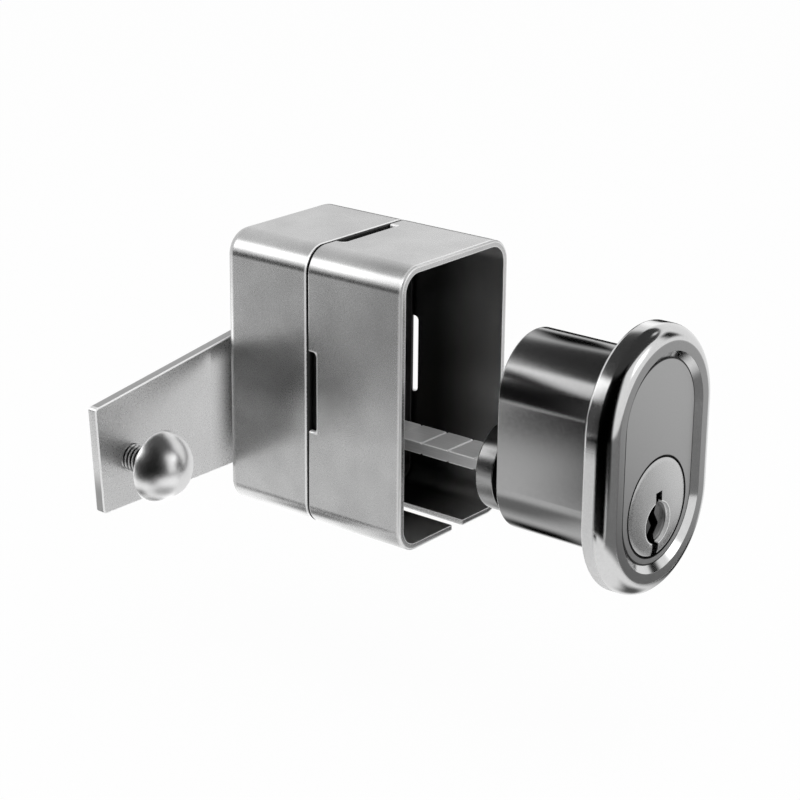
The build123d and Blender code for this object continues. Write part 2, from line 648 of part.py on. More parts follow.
def key_pins():
    """The lower pins, which ride in the plug and end at the shear line."""
    top = PLUG_DIAMETER / 2 - SHEAR_GAP
    pins = []
    for y in PIN_PLACES:
        pin = Pos(0, y, PIN_LOW) * extrude(Circle(PIN_DIAMETER / 2), amount=top - PIN_LOW)
        pins.append(chamfer(pin.edges().group_by(Axis.Z)[0], PIN_POINT))
    return pins


def driver_pins():
    """The upper pins, held clear of the plug at the shear line."""
    low = PLUG_DIAMETER / 2 + SHEAR_GAP / 2
    return [
        Pos(0, y, low) * extrude(Circle(PIN_DIAMETER / 2), amount=DRIVER_PIN_LENGTH)
        for y in PIN_PLACES
    ]


def pin_springs():
    """The coil springs over the driver pins."""
    seat = PLUG_DIAMETER / 2 + SHEAR_GAP / 2 + DRIVER_PIN_LENGTH
    low = seat + SPRING_WIRE / 2 + SLIDING_CLEARANCE
    high = CHAMBER_HEIGHT - SPRING_WIRE / 2 - SLIDING_CLEARANCE
    radius = (SPRING_DIAMETER - SPRING_WIRE) / 2
    height = high - low
    coil = Helix(pitch=height / SPRING_TURNS, height=height, radius=radius)
    section = Plane(coil @ 0, z_dir=coil % 0) * Circle(SPRING_WIRE / 2)
    spring = sweep(section, path=coil, is_frenet=True)
    return [Pos(0, y, low) * spring for y in PIN_PLACES]


def retaining_ring():
    """The open ring in the plug's groove that keeps the plug in its bore."""
    front = DRUM_BACK + 2 * SLIDING_CLEARANCE
    inner = RETAINING_GROOVE_DIAMETER + 2 * RUNNING_CLEARANCE
    ring = tube(RETAINING_RING_DIAMETER, inner, front, front + RETAINING_RING_THICKNESS)
    reach = RETAINING_RING_DIAMETER
    opening = Pos(0, -reach / 2) * Rectangle(PLUG_DIAMETER / 2, reach)
    back = front + RETAINING_RING_THICKNESS
    return ring - slab(opening, front - CUT_MARGIN, back + CUT_MARGIN)


def driver_disc():
    """The disc behind the plug that holds the tail bar."""
    body = disc(DISC_DIAMETER, PLUG_BACK, DISC_BACK)
    body = fillet(edges_at(body, DISC_BACK), DRUM_ROUND)
    front = PLUG_BACK - CUT_MARGIN
    back = DISC_BACK + CUT_MARGIN
    body -= slab(Rectangle(BAR_WIDTH, BAR_THICKNESS), front, back)
    for level in (-1, 1):
        z = level * DISC_SCREW_SPACING / 2
        body -= disc(DISC_SCREW_DIAMETER + 2 * RUNNING_CLEARANCE, front, back, 0, z)
        sink = DISC_SCREW_HEAD_DIAMETER + 4 * RUNNING_CLEARANCE
        body -= disc(sink, DISC_BACK - DISC_SCREW_SINK, back, 0, z)
    return body


def driver_screws():
    """The two screws that fasten the disc to the plug."""
    return [
        pan_head_screw(
            DISC_SCREW_DIAMETER,
            DISC_SCREW_LENGTH,
            DISC_SCREW_HEAD_DIAMETER,
            DISC_SCREW_HEAD_HEIGHT,
            DISC_BACK - DISC_SCREW_SINK,
            -1,
            0,
            level * DISC_SCREW_SPACING / 2,
        )
        for level in (-1, 1)
    ]


def tail_bar():
    """The flat bar from the plug into the hub, scored across so that it can be shortened."""
    bar = slab(Rectangle(BAR_WIDTH, BAR_THICKNESS), PLUG_BACK - BAR_ROOT, BAR_REACH)
    count = int((BAR_REACH - BAR_FIRST_SCORE) / BAR_SCORE_PITCH)
    for number in range(count):
        y = BAR_FIRST_SCORE + BAR_SCORE_PITCH * number
        for side in (-1, 1):
            score = Box(BAR_WIDTH + CUT_MARGIN, BAR_SCORE_WIDTH, 2 * BAR_SCORE_DEPTH)
            bar -= Pos(0, y, side * BAR_THICKNESS / 2) * score
    return bar


def collar_clip():
    """The wire clip in the body's groove that draws the collar against the door."""
    return clip_ring(CLIP_WIRE)


SUBPARTS = [
    front_ring,
    rear_cover,
    chassis_plate,
    chassis_pillars,
    chassis_screws,
    plate_bush,
    cover_bush,
    spring_washer,
    stop_pin,
    drive_hub,
    arm_spacer,
    locking_arm,
    arm_washer,
    arm_screw,
    stud_nut,
    stud_cap,
    threaded_stud,
    cylinder_body,
    cylinder_collar,
    collar_clip,
    plug,
    key_pins,
    driver_pins,
    pin_springs,
    retaining_ring,
    driver_disc,
    driver_screws,
    tail_bar,
    spring_cover,
]

for subpart in SUBPARTS:
    shape = subpart()
    if isinstance(shape, list):
        shape = Compound(children=shape)
    export_step(shape, f"parts/{subpart.__name__}.step")
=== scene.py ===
import math

import bmesh
import bpy
from mathutils import Matrix, Vector


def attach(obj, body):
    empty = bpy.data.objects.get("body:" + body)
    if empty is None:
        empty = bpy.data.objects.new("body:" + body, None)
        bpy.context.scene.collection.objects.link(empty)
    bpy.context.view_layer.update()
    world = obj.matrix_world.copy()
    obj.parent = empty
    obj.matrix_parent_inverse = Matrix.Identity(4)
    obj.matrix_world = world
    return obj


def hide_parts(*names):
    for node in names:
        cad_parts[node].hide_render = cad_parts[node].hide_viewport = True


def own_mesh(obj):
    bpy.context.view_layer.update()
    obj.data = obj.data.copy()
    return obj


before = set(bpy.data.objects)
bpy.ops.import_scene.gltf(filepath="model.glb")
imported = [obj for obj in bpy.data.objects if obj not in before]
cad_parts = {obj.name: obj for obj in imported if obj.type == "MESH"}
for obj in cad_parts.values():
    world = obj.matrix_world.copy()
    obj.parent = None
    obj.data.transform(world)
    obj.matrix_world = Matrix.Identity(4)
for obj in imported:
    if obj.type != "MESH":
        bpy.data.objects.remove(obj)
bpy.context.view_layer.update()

# The lock case's looks. Lengths are written in millimetres, as on a drawing, and Blender gets
# metres. X runs to the right as seen from the key side, Y to the back of the box, Z up.
MM = 0.001

# The box: a bent ring in front, a drawn cover behind
CORNER_X = 12.5             # centres of the four long corners
CORNER_LOW = -13.5
CORNER_HIGH = 37.5
CASE_MIDDLE = 12.0
OUTSIDE = 5.5               # corner radius outside and inside
INSIDE = 4.0
RING_BACK = 25.0
COVER_BACK = 48.2
COVER_INSIDE = 46.7
COVER_ROUND = 2.5           # the drawn back edge, outside and inside
INNER_ROUND = 1.0
RIM_ROUND = 0.45            # the edges that meet at the seam, and the ring's front edge
LIP_FRONT = 23.9            # the cover's lip, which slides into the ring
LIP_BACK = 28.0
LIP_OUTSIDE = 3.9
LIP_INSIDE = 3.0
LIP_ROUND = 0.2
SHAFT_HOLE = 6.5            # radii of the holes in the cover's back
ACCESS_HOLE = 4.5
CONNECTOR_X = 6.5           # the two connecting screws, which tie cylinder and case together
CONNECTOR_Z = 23.5
GAP_LEFT = 0.1              # the cut ends of the bent strip, in the bottom wall
GAP_RIGHT = 3.9
NOTCH_LENGTH = 17.6
NOTCH_DEPTH = 2.2
NOTCH_ROUND = 1.0

# The arm and its stud
ARM_FRONT = 51.9
ARM_BACK = 54.3
STUD = (-43.5, -2.0)
CAP_BACK = 43.9
STUD_BACK = 58.5
STUD_RADIUS = 3.0
NECK_RADIUS = 2.3           # the dome is crimped over a neck in front of the thread
NECK_LENGTH = 1.2
DOME_RADIUS = 7.75
DOME_HEIGHT = 6.2
DOME_RIM = 0.6

# The oval cylinder
OVAL_LOW = 0.5              # centres of the oval's two rounds
OVAL_HIGH = 18.5
OVAL_RADIUS = 12.5
DRUM_FRONT = -51.1
DRUM_BACK = -20.4
COLLAR_FRONT = -52.1
COLLAR_BACK = -45.6
COLLAR_RADIUS = 19.1
COLLAR_ROUND = 3.3
PLUG_FRONT = -51.4
PLUG_HEAD_BACK = -48.2
PLUG_BACK = -17.4
PLUG_HEAD = 10.4            # radius of the plug's head and of its core
PLUG_CORE = 8.0
RECESS = (0.2, -3.4)        # the round recess about the keyway
RECESS_RADIUS = 4.4
RECESS_DEPTH = 1.2
RECESS_ROUND = 0.96         # the bowl's edge
KEYWAY_HALF = 1.1           # half its width
KEYWAY_DEPTH = 24.0
DISC_RADIUS = 9.7
DISC_BACK = -13.0
BAR_SIDE = 4.5              # half the tail bar's width and thickness
BAR_TOP = 1.3
PINS = 5
FIRST_PIN = -46.5
PIN_PITCH = 4.5

PAST = 1.0                  # how far a cutter reaches past what it cuts
TOUCH = 0.02                # places as near as this are taken as one
SHARP = 40                  # an edge is sharp from this angle on, in degrees
FLOOR = -58.0               # heights of the studio's floor and of the mats on it
MAT = FLOOR + 1.0


# Modelling by hand: a line is drawn, swept straight and bent round corners


def at(x, y, z):
    """A place in metres from one in millimetres."""
    return Vector((x, y, z)) * MM


def leave_all():
    """Nothing is in edit mode or selected."""
    if bpy.context.mode != "OBJECT":
        bpy.ops.object.mode_set(mode="OBJECT")
    bpy.ops.object.select_all(action="DESELECT")


def take(piece):
    """Only this piece is selected and active."""
    leave_all()
    piece.select_set(True)
    bpy.context.view_layer.objects.active = piece


def edit(piece):
    """Opens this piece alone in edit mode."""
    take(piece)
    bpy.ops.object.mode_set(mode="EDIT")


def draw(name, points, closed=False):
    """A new piece that is one line through the points, selected in edit mode."""
    leave_all()
    bpy.ops.mesh.primitive_plane_add(size=MM, location=at(*points[0]))
    piece = bpy.context.object
    piece.name = name
    bpy.ops.object.transform_apply(location=True, rotation=False, scale=False)
    bpy.ops.object.mode_set(mode="EDIT")
    bpy.ops.mesh.select_mode(type="VERT")
    bpy.ops.mesh.select_all(action="SELECT")
    bpy.ops.mesh.merge(type="CENTER")
    for start, end in zip(points, points[1:]):
        step = at(*end) - at(*start)
        bpy.ops.mesh.extrude_vertices_move(TRANSFORM_OT_translate={"value": step})
    if closed:
        pick(piece, lambda place: near(place, points[0]) or near(place, points[-1]))
        bpy.ops.mesh.edge_face_add()
    bpy.ops.mesh.select_all(action="SELECT")
    return piece


def near(place, point, reach=TOUCH):
    """True where a place in metres is within reach of a point, both compared in millimetres."""
    return (place / MM - Vector(point)).length < reach


def pick(piece, test, kind="VERT"):
    """Selects only the points or edges that pass the test."""
    bpy.ops.mesh.select_all(action="DESELECT")
    bpy.ops.mesh.select_mode(type=kind)
    mesh = bmesh.from_edit_mesh(piece.data)
    if kind == "VERT":
        found = [point for point in mesh.verts if test(point.co)]
    else:
        found = [edge for edge in mesh.edges if test(edge)]
    for item in found:
        item.select_set(True)
    mesh.select_flush_mode()
    bmesh.update_edit_mesh(piece.data)


def fill():
    """Closes the selected loop with a face."""
    bpy.ops.mesh.edge_face_add()


def sweep(x, y, z):
    """Draws the selected line out straight."""
    bpy.ops.mesh.extrude_edges_move(TRANSFORM_OT_translate={"value": at(x, y, z)})


def bend(x, z, angle=90, steps=12):
    """Turns the selected line about an axis along Y, anticlockwise as seen from the key side."""
    bpy.ops.mesh.spin(
        steps=steps, angle=math.radians(angle), center=at(x, 0, z), axis=(0, 1, 0)
    )


def push(x, y, z):
    """Draws the selected faces out, with walls behind them."""
    bpy.ops.mesh.extrude_region_move(TRANSFORM_OT_translate={"value": at(x, y, z)})


def close_up(piece, reach=0.001):
    """Merges double points and turns every face outwards."""
    edit(piece)
    bpy.ops.mesh.select_all(action="SELECT")
    bpy.ops.mesh.remove_doubles(threshold=reach * MM)
    bpy.ops.mesh.select_all(action="SELECT")
    bpy.ops.mesh.normals_make_consistent(inside=False)
    bpy.ops.object.mode_set(mode="OBJECT")


def apply_modifier(piece, kind, **settings):
    """Adds a modifier with its settings and applies it."""
    take(piece)
    modifier = piece.modifiers.new(kind.title(), kind)
    for name, value in settings.items():
        setattr(modifier, name, value)
    bpy.ops.object.modifier_apply(modifier=modifier.name)


def cut(piece, cutter):
    """Takes the cutter's shape out of the piece."""
    close_up(cutter)
    apply_modifier(piece, "BOOLEAN", operation="DIFFERENCE", solver="EXACT", object=cutter)
    bpy.data.objects.remove(cutter)


def round_edges(piece, width, segments=2):
    """Rounds every sharp edge."""
    apply_modifier(
        piece,
        "BEVEL",
        width=width * MM,
        segments=segments,
        limit_method="ANGLE",
        angle_limit=math.radians(SHARP),
        harden_normals=False,
        miter_outer="MITER_ARC",
    )


def wind(line, axis, pitch, turns, steps):
    """Winds a line about an axis through the origin, into a thread or a coil."""
    apply_modifier(
        line,
        "SCREW",
        axis=axis,
        angle=math.tau,
        screw_offset=pitch * MM,
        iterations=turns,
        steps=steps,
        render_steps=steps,
        use_merge_vertices=True,
        merge_threshold=1e-6,
        use_smooth_shade=True,
    )


def shift(piece, x, y, z):
    """Moves a piece, with its object left at the origin."""
    take(piece)
    bpy.ops.transform.translate(value=at(x, y, z))
    bpy.ops.object.transform_apply(location=True, rotation=False, scale=False)


def join(piece, others):
    """Makes the others part of the piece."""
    take(piece)
    for other in others:
        other.select_set(True)
    bpy.ops.object.join()


def smooth(piece, angle=35):
    """Smooth shading, broken only at sharp edges, with flat faces kept flat."""
    take(piece)
    bpy.ops.object.shade_smooth_by_angle(angle=math.radians(angle))
    apply_modifier(piece, "WEIGHTED_NORMAL", keep_sharp=True, weight=80)


def rod(name, x, z, radius, front, back, sides=96):
    """A round bar along Y."""
    leave_all()
    bpy.ops.mesh.primitive_cylinder_add(
        vertices=sides,
        radius=radius * MM,
        depth=(back - front) * MM,
        location=at(x, (front + back) / 2, z),
        rotation=(math.pi / 2, 0, 0),
    )
    piece = bpy.context.object
    piece.name = name
    bpy.ops.object.transform_apply(location=True, rotation=True, scale=True)
    return piece


def block(name, low, high):
    """A box between two corners."""
    leave_all()
    middle = (at(*low) + at(*high)) / 2
    bpy.ops.mesh.primitive_cube_add(size=1, location=middle, scale=at(*high) - at(*low))
    piece = bpy.context.object
    piece.name = name
    bpy.ops.object.transform_apply(location=True, rotation=True, scale=True)
    return piece


def bow(x, y, radius, first, last, steps):
    """Points on an arc about (x, y), from one angle to another in degrees."""
    angles = [math.radians(first + (last - first) * step / steps) for step in range(steps + 1)]
    return [(x + radius * math.cos(angle), y + radius * math.sin(angle)) for angle in angles]


def wear(piece, body, slot, finish, *nodes):
    """Gives a finished piece its material and its body, and hides the solids that it stands for.
    """
    leave_all()
    piece.data.materials.clear()
    piece.data.materials.append(finish)
    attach(piece, body)
    if nodes:
        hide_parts(*nodes)


# The pieces


def outside_distance(place):
    """How far a place lies outside the box's outline, in millimetres."""
    across = abs(place.x / MM) - CORNER_X
    up = abs(place.z / MM - CASE_MIDDLE) - (CORNER_HIGH - CORNER_LOW) / 2
    past = math.hypot(max(across, 0), max(up, 0))
    return past + min(max(across, up), 0) - OUTSIDE


def around_case(first=2 * CORNER_X):
    """Sweeps the selected line along the box's bottom by a first length, and on round the box to
    the end of its bottom left corner."""
    long_side = CORNER_HIGH - CORNER_LOW
    sweep(first, 0, 0)
    bend(CORNER_X, CORNER_LOW)
    sweep(0, 0, long_side)
    bend(CORNER_X, CORNER_HIGH)
    sweep(-2 * CORNER_X, 0, 0)
    bend(-CORNER_X, CORNER_HIGH)
    sweep(0, 0, -long_side)
    bend(-CORNER_X, CORNER_LOW)


def bent_ring():
    """The steel strip, bent round until its cut ends nearly meet in the bottom wall."""
    low = CORNER_LOW - OUTSIDE
    wall = OUTSIDE - INSIDE
    start = [
        (GAP_RIGHT, 0, low),
        (GAP_RIGHT, 0, low + wall),
        (GAP_RIGHT, RING_BACK, low + wall),
        (GAP_RIGHT, RING_BACK, low),
    ]
    ring = draw("ring_strip", start)
    fill()
    around_case(CORNER_X - GAP_RIGHT)
    sweep(CORNER_X + GAP_LEFT, 0, 0)
    fill()
    close_up(ring)
    side, top = CORNER_X + OUTSIDE, CORNER_HIGH + OUTSIDE
    for x, z, upright in ((0, top, False), (side, CASE_MIDDLE, True), (-side, CASE_MIDDLE, True)):
        cut(ring, notch_cutter(x, z, upright))
    edit(ring)

    def outer_edge(edge):
        sharp = len(edge.link_faces) == 2 and edge.calc_face_angle() > math.radians(SHARP)
        return sharp and all(abs(outside_distance(end.co)) < TOUCH for end in edge.verts)

    pick(ring, outer_edge, "EDGE")
    bpy.ops.mesh.bevel(offset=RIM_ROUND * MM, segments=4, affect="EDGES", clamp_overlap=True)
    bpy.ops.object.mode_set(mode="OBJECT")
    round_edges(ring, 0.12)
    smooth(ring)
    return ring


def notch_cutter(x, z, upright):
    """A prying notch's shape, its two inner corners rounded, in the ring's rear rim at x, z."""
    half, through = NOTCH_LENGTH / 2, 4
    across, up = (through, half) if upright else (half, through)
    low = (x - across, RING_BACK - NOTCH_DEPTH, z - up)
    high = (x + across, RING_BACK + PAST, z + up)
    cutter = block("notch", low, high)
    edit(cutter)
    wall_axis = 0 if upright else 2

    def inner_corner(edge):
        ends = [end.co / MM for end in edge.verts]
        deep = all(abs(end.y - low[1]) < TOUCH for end in ends)
        return deep and abs(ends[0][wall_axis] - ends[1][wall_axis]) > through

    pick(cutter, inner_corner, "EDGE")
    bpy.ops.mesh.bevel(offset=NOTCH_ROUND * MM, segments=6, affect="EDGES", clamp_overlap=True)
    bpy.ops.object.mode_set(mode="OBJECT")
    return cutter


def drawn_cover():
    """The drawn cup behind the ring, with its lip, its rounded back edge and three holes."""
    section = [
        (0, COVER_BACK),
        *bow(OUTSIDE - COVER_ROUND, COVER_BACK - COVER_ROUND, COVER_ROUND, 90, 0, 8),
        *bow(OUTSIDE - RIM_ROUND, RING_BACK + RIM_ROUND, RIM_ROUND, 0, -90, 4),
        (INSIDE + 0.02, RING_BACK),
        (LIP_OUTSIDE, RING_BACK + 0.1),
        *bow(LIP_OUTSIDE - LIP_ROUND, LIP_FRONT + LIP_ROUND, LIP_ROUND, 0, -90, 3),
        *bow(LIP_INSIDE + LIP_ROUND, LIP_FRONT + LIP_ROUND, LIP_ROUND, -90, -180, 3),
        (LIP_INSIDE, LIP_BACK),
        (INSIDE, LIP_BACK),
        *bow(INSIDE - INNER_ROUND, COVER_INSIDE - INNER_ROUND, INNER_ROUND, 0, 90, 4),
        (0, COVER_INSIDE),
    ]
    points = [(-CORNER_X, y, CORNER_LOW - radius) for radius, y in section]
    cover = draw("cover_cup", points)
    around_case()
    close_up(cover)
    edit(cover)
    for y in (COVER_BACK, COVER_INSIDE):
        corners = [(x, y, z) for x in (-CORNER_X, CORNER_X) for z in (CORNER_LOW, CORNER_HIGH)]
        pick(cover, lambda place: any(near(place, corner) for corner in corners))
        fill()
    close_up(cover)
    front, back = 45.0, 50.0    # past both faces of the cup's back
    cut(cover, rod("shaft_hole", 0, 0, SHAFT_HOLE, front, back))
    for x in (-CONNECTOR_X, CONNECTOR_X):
        cut(cover, rod("access_hole", x, CONNECTOR_Z, ACCESS_HOLE, front, back))
    round_edges(cover, 0.12)
    smooth(cover)
    return cover


def swinging_arm():
    """The flat arm: a tip square to its middle line, two long edges, a round end at the hub."""
    low, tip, tip_top = -12.4, -52.0, 11.4
    lean, corner = 1.5, 1.0
    slope, tip_slope = 8.3, 3.6
    rise = math.radians(slope)
    top_at_axis = tip_top + (lean - tip) * math.tan(rise)
    radius = (top_at_axis - low) * math.cos(rise) / (1 + math.cos(rise))
    middle = radius + low
    # The line under the arm, and the tip with its two rounded corners
    outline = [
        (0, low),
        *bow(tip + corner, low + corner, corner, -90, -180 - tip_slope, 5),
        *bow(tip - lean + 1.1, tip_top - 0.95, corner, -180 - tip_slope, -270 - slope, 5),
    ]
    points = [(x, ARM_FRONT, z) for x, z in outline]
    points.append((-radius * math.sin(rise), ARM_FRONT, middle + radius * math.cos(rise)))
    arm = draw("arm_plate", points)
    pick(arm, lambda place: near(place, points[0]))
    bend(0, middle, 180 + slope, 48)
    close_up(arm, TOUCH)
    edit(arm)
    bpy.ops.mesh.select_all(action="SELECT")
    fill()
    push(0, ARM_BACK - ARM_FRONT, 0)
    close_up(arm)
    round_edges(arm, 0.3, 3)
    front, back = 50.0, 56.0    # past both faces
    cut(arm, rod("stud_hole", *STUD, STUD_RADIUS + 0.05, front, back, 48))
    half = 3.55
    cut(arm, block("square_hole", (-half, front, -half), (half, back, half)))
    smooth(arm)
    return arm


def domed_cap():
    """The polished dome on the stud, turned, with a small rim and the neck's bore behind."""
    ball = (DOME_RADIUS**2 + DOME_HEIGHT**2) / (2 * DOME_HEIGHT)
    top = CAP_BACK - DOME_RIM - DOME_HEIGHT
    reach, steps = math.asin(DOME_RADIUS / ball), 19
    section = [(0, top)]
    for step in range(1, steps + 1):
        angle = reach * step / steps
        section.append((ball * math.sin(angle), top + ball * (1 - math.cos(angle))))
    bore, edge = NECK_RADIUS + 0.05, 0.3
    section += [
        *bow(DOME_RADIUS - edge, CAP_BACK - edge, edge, 0, 90, 4),
        (bore, CAP_BACK),
        (bore, CAP_BACK - NECK_LENGTH),
        (0, CAP_BACK - NECK_LENGTH),
    ]
    points = [(STUD[0] + radius, y, STUD[1]) for radius, y in section]
    cap = draw("cap_dome", points)
    bend(*STUD, 360, 96)
    close_up(cap)
    smooth(cap, 50)
    return cap


def screwed_stud():
    """The stud: a real thread between cap and arm, and a slotted tail behind the nut."""
    crest, root, pitch = STUD_RADIUS, 2.45, 1.0
    start = CAP_BACK + 0.2
    ridge = [
        (root, start),
        (root + 0.04, start + 0.12),
        (crest - 0.05, start + 0.42),
        (crest, start + 0.47),
        (crest, start + 0.53),
        (crest - 0.05, start + 0.58),
        (root + 0.04, start + 0.88),
        (root, start + pitch),
    ]
    x, z = STUD
    thread = draw("stud_thread", [(radius, y, 0) for radius, y in ridge])
    wind(thread, "Y", pitch, 12, 36)
    shift(thread, x, 0, z)
    head_radius, head_back = 2.9, CAP_BACK - NECK_LENGTH
    head_front = head_back - 1.0
    core_section = [
        (0, head_front),
        (head_radius, head_front),
        (head_radius, head_back),
        (NECK_RADIUS, head_back),
        (NECK_RADIUS, start),
        (root, start + 0.1),
        (root, STUD_BACK - 0.5),
        (root - 0.45, STUD_BACK),
        (0, STUD_BACK),
    ]
    core = draw("stud_core", [(x + radius, y, z) for radius, y in core_section])
    bend(x, z, 360, 48)
    close_up(core)
    slot = block("slot", (x - 4, STUD_BACK - 1, z - 0.5), (x + 4, STUD_BACK + PAST, z + 0.5))
    cut(core, slot)
    round_edges(core, 0.06)
    close_up(thread)
    join(thread, [core])
    smooth(thread, 30)
    return thread


def scored_bar():
    """The flat tail bar, scored across above and below so that it can be broken to length."""
    front, back = -20.8, 35.5
    first_score, score_pitch, scores = -9.0, 7.0, 7
    wide, narrow, bottom = 0.36, 0.1, BAR_TOP - 0.3
    score = [(-wide, BAR_TOP), (-narrow, bottom), (narrow, bottom), (wide, BAR_TOP)]
    top = []
    for number in range(scores):
        y = first_score + score_pitch * number
        top += [(y + step, z) for step, z in score]
    upper = [(front, BAR_TOP), *top, (back, BAR_TOP)]
    lower = [(y, -z) for y, z in reversed(upper)]
    bar = draw("bar_flat", [(-BAR_SIDE, y, z) for y, z in upper + lower], closed=True)
    fill()
    push(2 * BAR_SIDE, 0, 0)
    close_up(bar)
    round_edges(bar, 0.14)
    smooth(bar)
    return bar


def turned_disc():
    """The disc behind the cylinder, with its two counterbored screw holes and the bar's slot."""
    section = [
        (0, PLUG_BACK),
        *bow(DISC_RADIUS - 0.2, PLUG_BACK + 0.2, 0.2, -90, 0, 3),
        *bow(DISC_RADIUS - 0.45, DISC_BACK - 0.45, 0.45, 0, 90, 5),
        (0, DISC_BACK),
    ]
    disc = draw("disc_turned", [(radius, y, 0) for radius, y in section])
    bend(0, 0, 360, 96)
    close_up(disc)
    front, back = PLUG_BACK - PAST, DISC_BACK + PAST
    screw, shank, head, head_depth = 5.2, 1.3, 2.5, 1.75
    for z in (-screw, screw):
        cut(disc, rod("counterbore", 0, z, head, DISC_BACK - head_depth, back, 48))
        cut(disc, rod("screw_hole", 0, z, shank, front, DISC_BACK, 32))
    side, top = BAR_SIDE + 0.05, BAR_TOP + 0.05
    cut(disc, block("bar_slot", (-side, front, -top), (side, back, top)))
    round_edges(disc, 0.12)
    smooth(disc)
    return disc


def around_oval():
    """Sweeps the selected line round the oval, from its right side at the lower centre."""
    tall = OVAL_HIGH - OVAL_LOW
    sweep(0, 0, tall)
    bend(0, OVAL_HIGH, 180, 48)
    sweep(0, 0, -tall)
    bend(0, OVAL_LOW, 180, 48)


def oval_drum():
    """The cylinder's oval body, bored for the plug in front and tapped twice behind."""
    section = [
        (0, DRUM_FRONT),
        *bow(OVAL_RADIUS - 0.15, DRUM_FRONT + 0.15, 0.15, -90, 0, 3),
        *bow(OVAL_RADIUS - 0.4, DRUM_BACK - 0.4, 0.4, 0, 90, 5),
        (0, DRUM_BACK),
    ]
    drum = draw("drum_oval", [(radius, y, OVAL_LOW) for radius, y in section])
    around_oval()
    close_up(drum)
    front, back = DRUM_FRONT - PAST, DRUM_BACK + PAST
    cut(drum, rod("head_bore", 0, 0, PLUG_HEAD + 0.1, front, PLUG_HEAD_BACK + 0.04))
    cut(drum, rod("plug_bore", 0, 0, PLUG_CORE + 0.05, front, back))
    tap, tap_depth = 2.1, 12.0
    for x in (-CONNECTOR_X, CONNECTOR_X):
        cut(drum, rod("tapped_hole", x, CONNECTOR_Z, tap, DRUM_BACK - tap_depth, back, 32))
    side, slot_front, low, high = 2.55, -49.4, 24.55, 26.35
    cut(drum, block("cover_slot", (-side, slot_front, low), (side, back, high)))
    round_edges(drum, 0.1)
    smooth(drum)
    return drum


def round_collar():
    """The collar: a flat front lip, a funnel down to the oval, a full round, a small back edge."""
    hole = OVAL_RADIUS + 0.1
    lip_inside = hole + 1.5
    lip_outside = COLLAR_RADIUS - COLLAR_ROUND
    section = [
        (hole, COLLAR_BACK),
        (hole, COLLAR_FRONT + 1.1),
        *bow(lip_inside - 0.02, COLLAR_FRONT + 0.12, 0.12, 215, 270, 3),
        *bow(lip_outside, COLLAR_FRONT + COLLAR_ROUND, COLLAR_ROUND, -90, 0, 16),
        *bow(COLLAR_RADIUS - 0.8, COLLAR_BACK - 0.8, 0.8, 0, 90, 5),
    ]
    points = [(radius, y, OVAL_LOW) for radius, y in section]
    collar = draw("collar_round", points, closed=True)
    around_oval()
    close_up(collar)
    smooth(collar, 30)
    return collar


def keyway_outline():
    """The zigzag slot's outline on the plug's face, from its middle line."""
    middle = [
        (0.2, 3.2),
        (0.3, 1.2),
        (-0.65, -1.8),
        (0.87, -4.2),
        (-0.65, -6.0),
        (-0.38, -7.0),
        (-0.38, -12.0),
    ]
    left, right = [], []
    for number, (x, z) in enumerate(middle):
        before = middle[max(number - 1, 0)]
        after = middle[min(number + 1, len(middle) - 1)]
        inward = Vector((x - before[0], z - before[1]))
        onward = Vector((after[0] - x, after[1] - z))
        inward = (inward if inward.length else onward).normalized()
        onward = (onward if onward.length else inward).normalized()
        along = (inward + onward).normalized()
        across = Vector((along.y, -along.x))
        width = KEYWAY_HALF / max(across.dot(Vector((inward.y, -inward.x))), 0.5)
        left.append((x + across.x * width, z + across.y * width))
        right.append((x - across.x * width, z - across.y * width))
    return left + right[::-1]


def keyed_plug():
    """The plug's broad face with its keyway, and its core back to the disc."""
    section = [
        (0, PLUG_FRONT),
        (PLUG_HEAD - 1.2, PLUG_FRONT),
        (PLUG_HEAD - 0.2, PLUG_FRONT + 0.32),
        (PLUG_HEAD, PLUG_FRONT + 0.6),
        (PLUG_HEAD, PLUG_HEAD_BACK),
        (PLUG_CORE, PLUG_HEAD_BACK),
        (PLUG_CORE, PLUG_BACK),
        (0, PLUG_BACK),
    ]
    plug = draw("plug_keyed", [(radius, y, 0) for radius, y in section])
    bend(0, 0, 360, 96)
    close_up(plug)
    front, floor = PLUG_FRONT - PAST, PLUG_FRONT + RECESS_DEPTH
    recess = rod("recess", *RECESS, RECESS_RADIUS, front, floor, 64)
    edit(recess)

    def floor_edge(edge):
        return all(abs(end.co.y / MM - floor) < 0.001 for end in edge.verts)

    pick(recess, floor_edge, "EDGE")
    bpy.ops.mesh.bevel(offset=RECESS_ROUND * MM, segments=4, affect="EDGES")
    cut(plug, recess)
    way = [(x, front, z) for x, z in keyway_outline()]
    keyway = draw("keyway", way, closed=True)
    fill()
    push(0, KEYWAY_DEPTH + PAST, 0)
    cut(plug, keyway)
    round_edges(plug, 0.1)
    smooth(plug, 30)
    return plug


def pin_coils():
    """The five coil springs over the driver pins, one wound and four copied."""
    radius, wire, low, high, turns = 1.125, 0.175, 14.295, 25.305, 8
    section = [(radius + x, 0, low + z) for x, z in bow(0, 0, wire, 0, 315, 7)]
    coil = draw("pin_coils", section, closed=True)
    wind(coil, "Z", (high - low) / turns, turns, 24)
    edit(coil)
    for end in (low, high):
        pick(coil, lambda place: near(place, (radius, 0, end), wire + 0.01))
        fill()
    close_up(coil)
    shift(coil, 0, FIRST_PIN, 0)
    coils = [coil]
    for _ in range(PINS - 1):
        take(coils[-1])
        bpy.ops.object.duplicate()
        coils.append(bpy.context.object)
        shift(coils[-1], 0, PIN_PITCH, 0)
    join(coil, coils[1:])
    smooth(coil, 40)
    return coil


# Finishes: shader maths written as sums


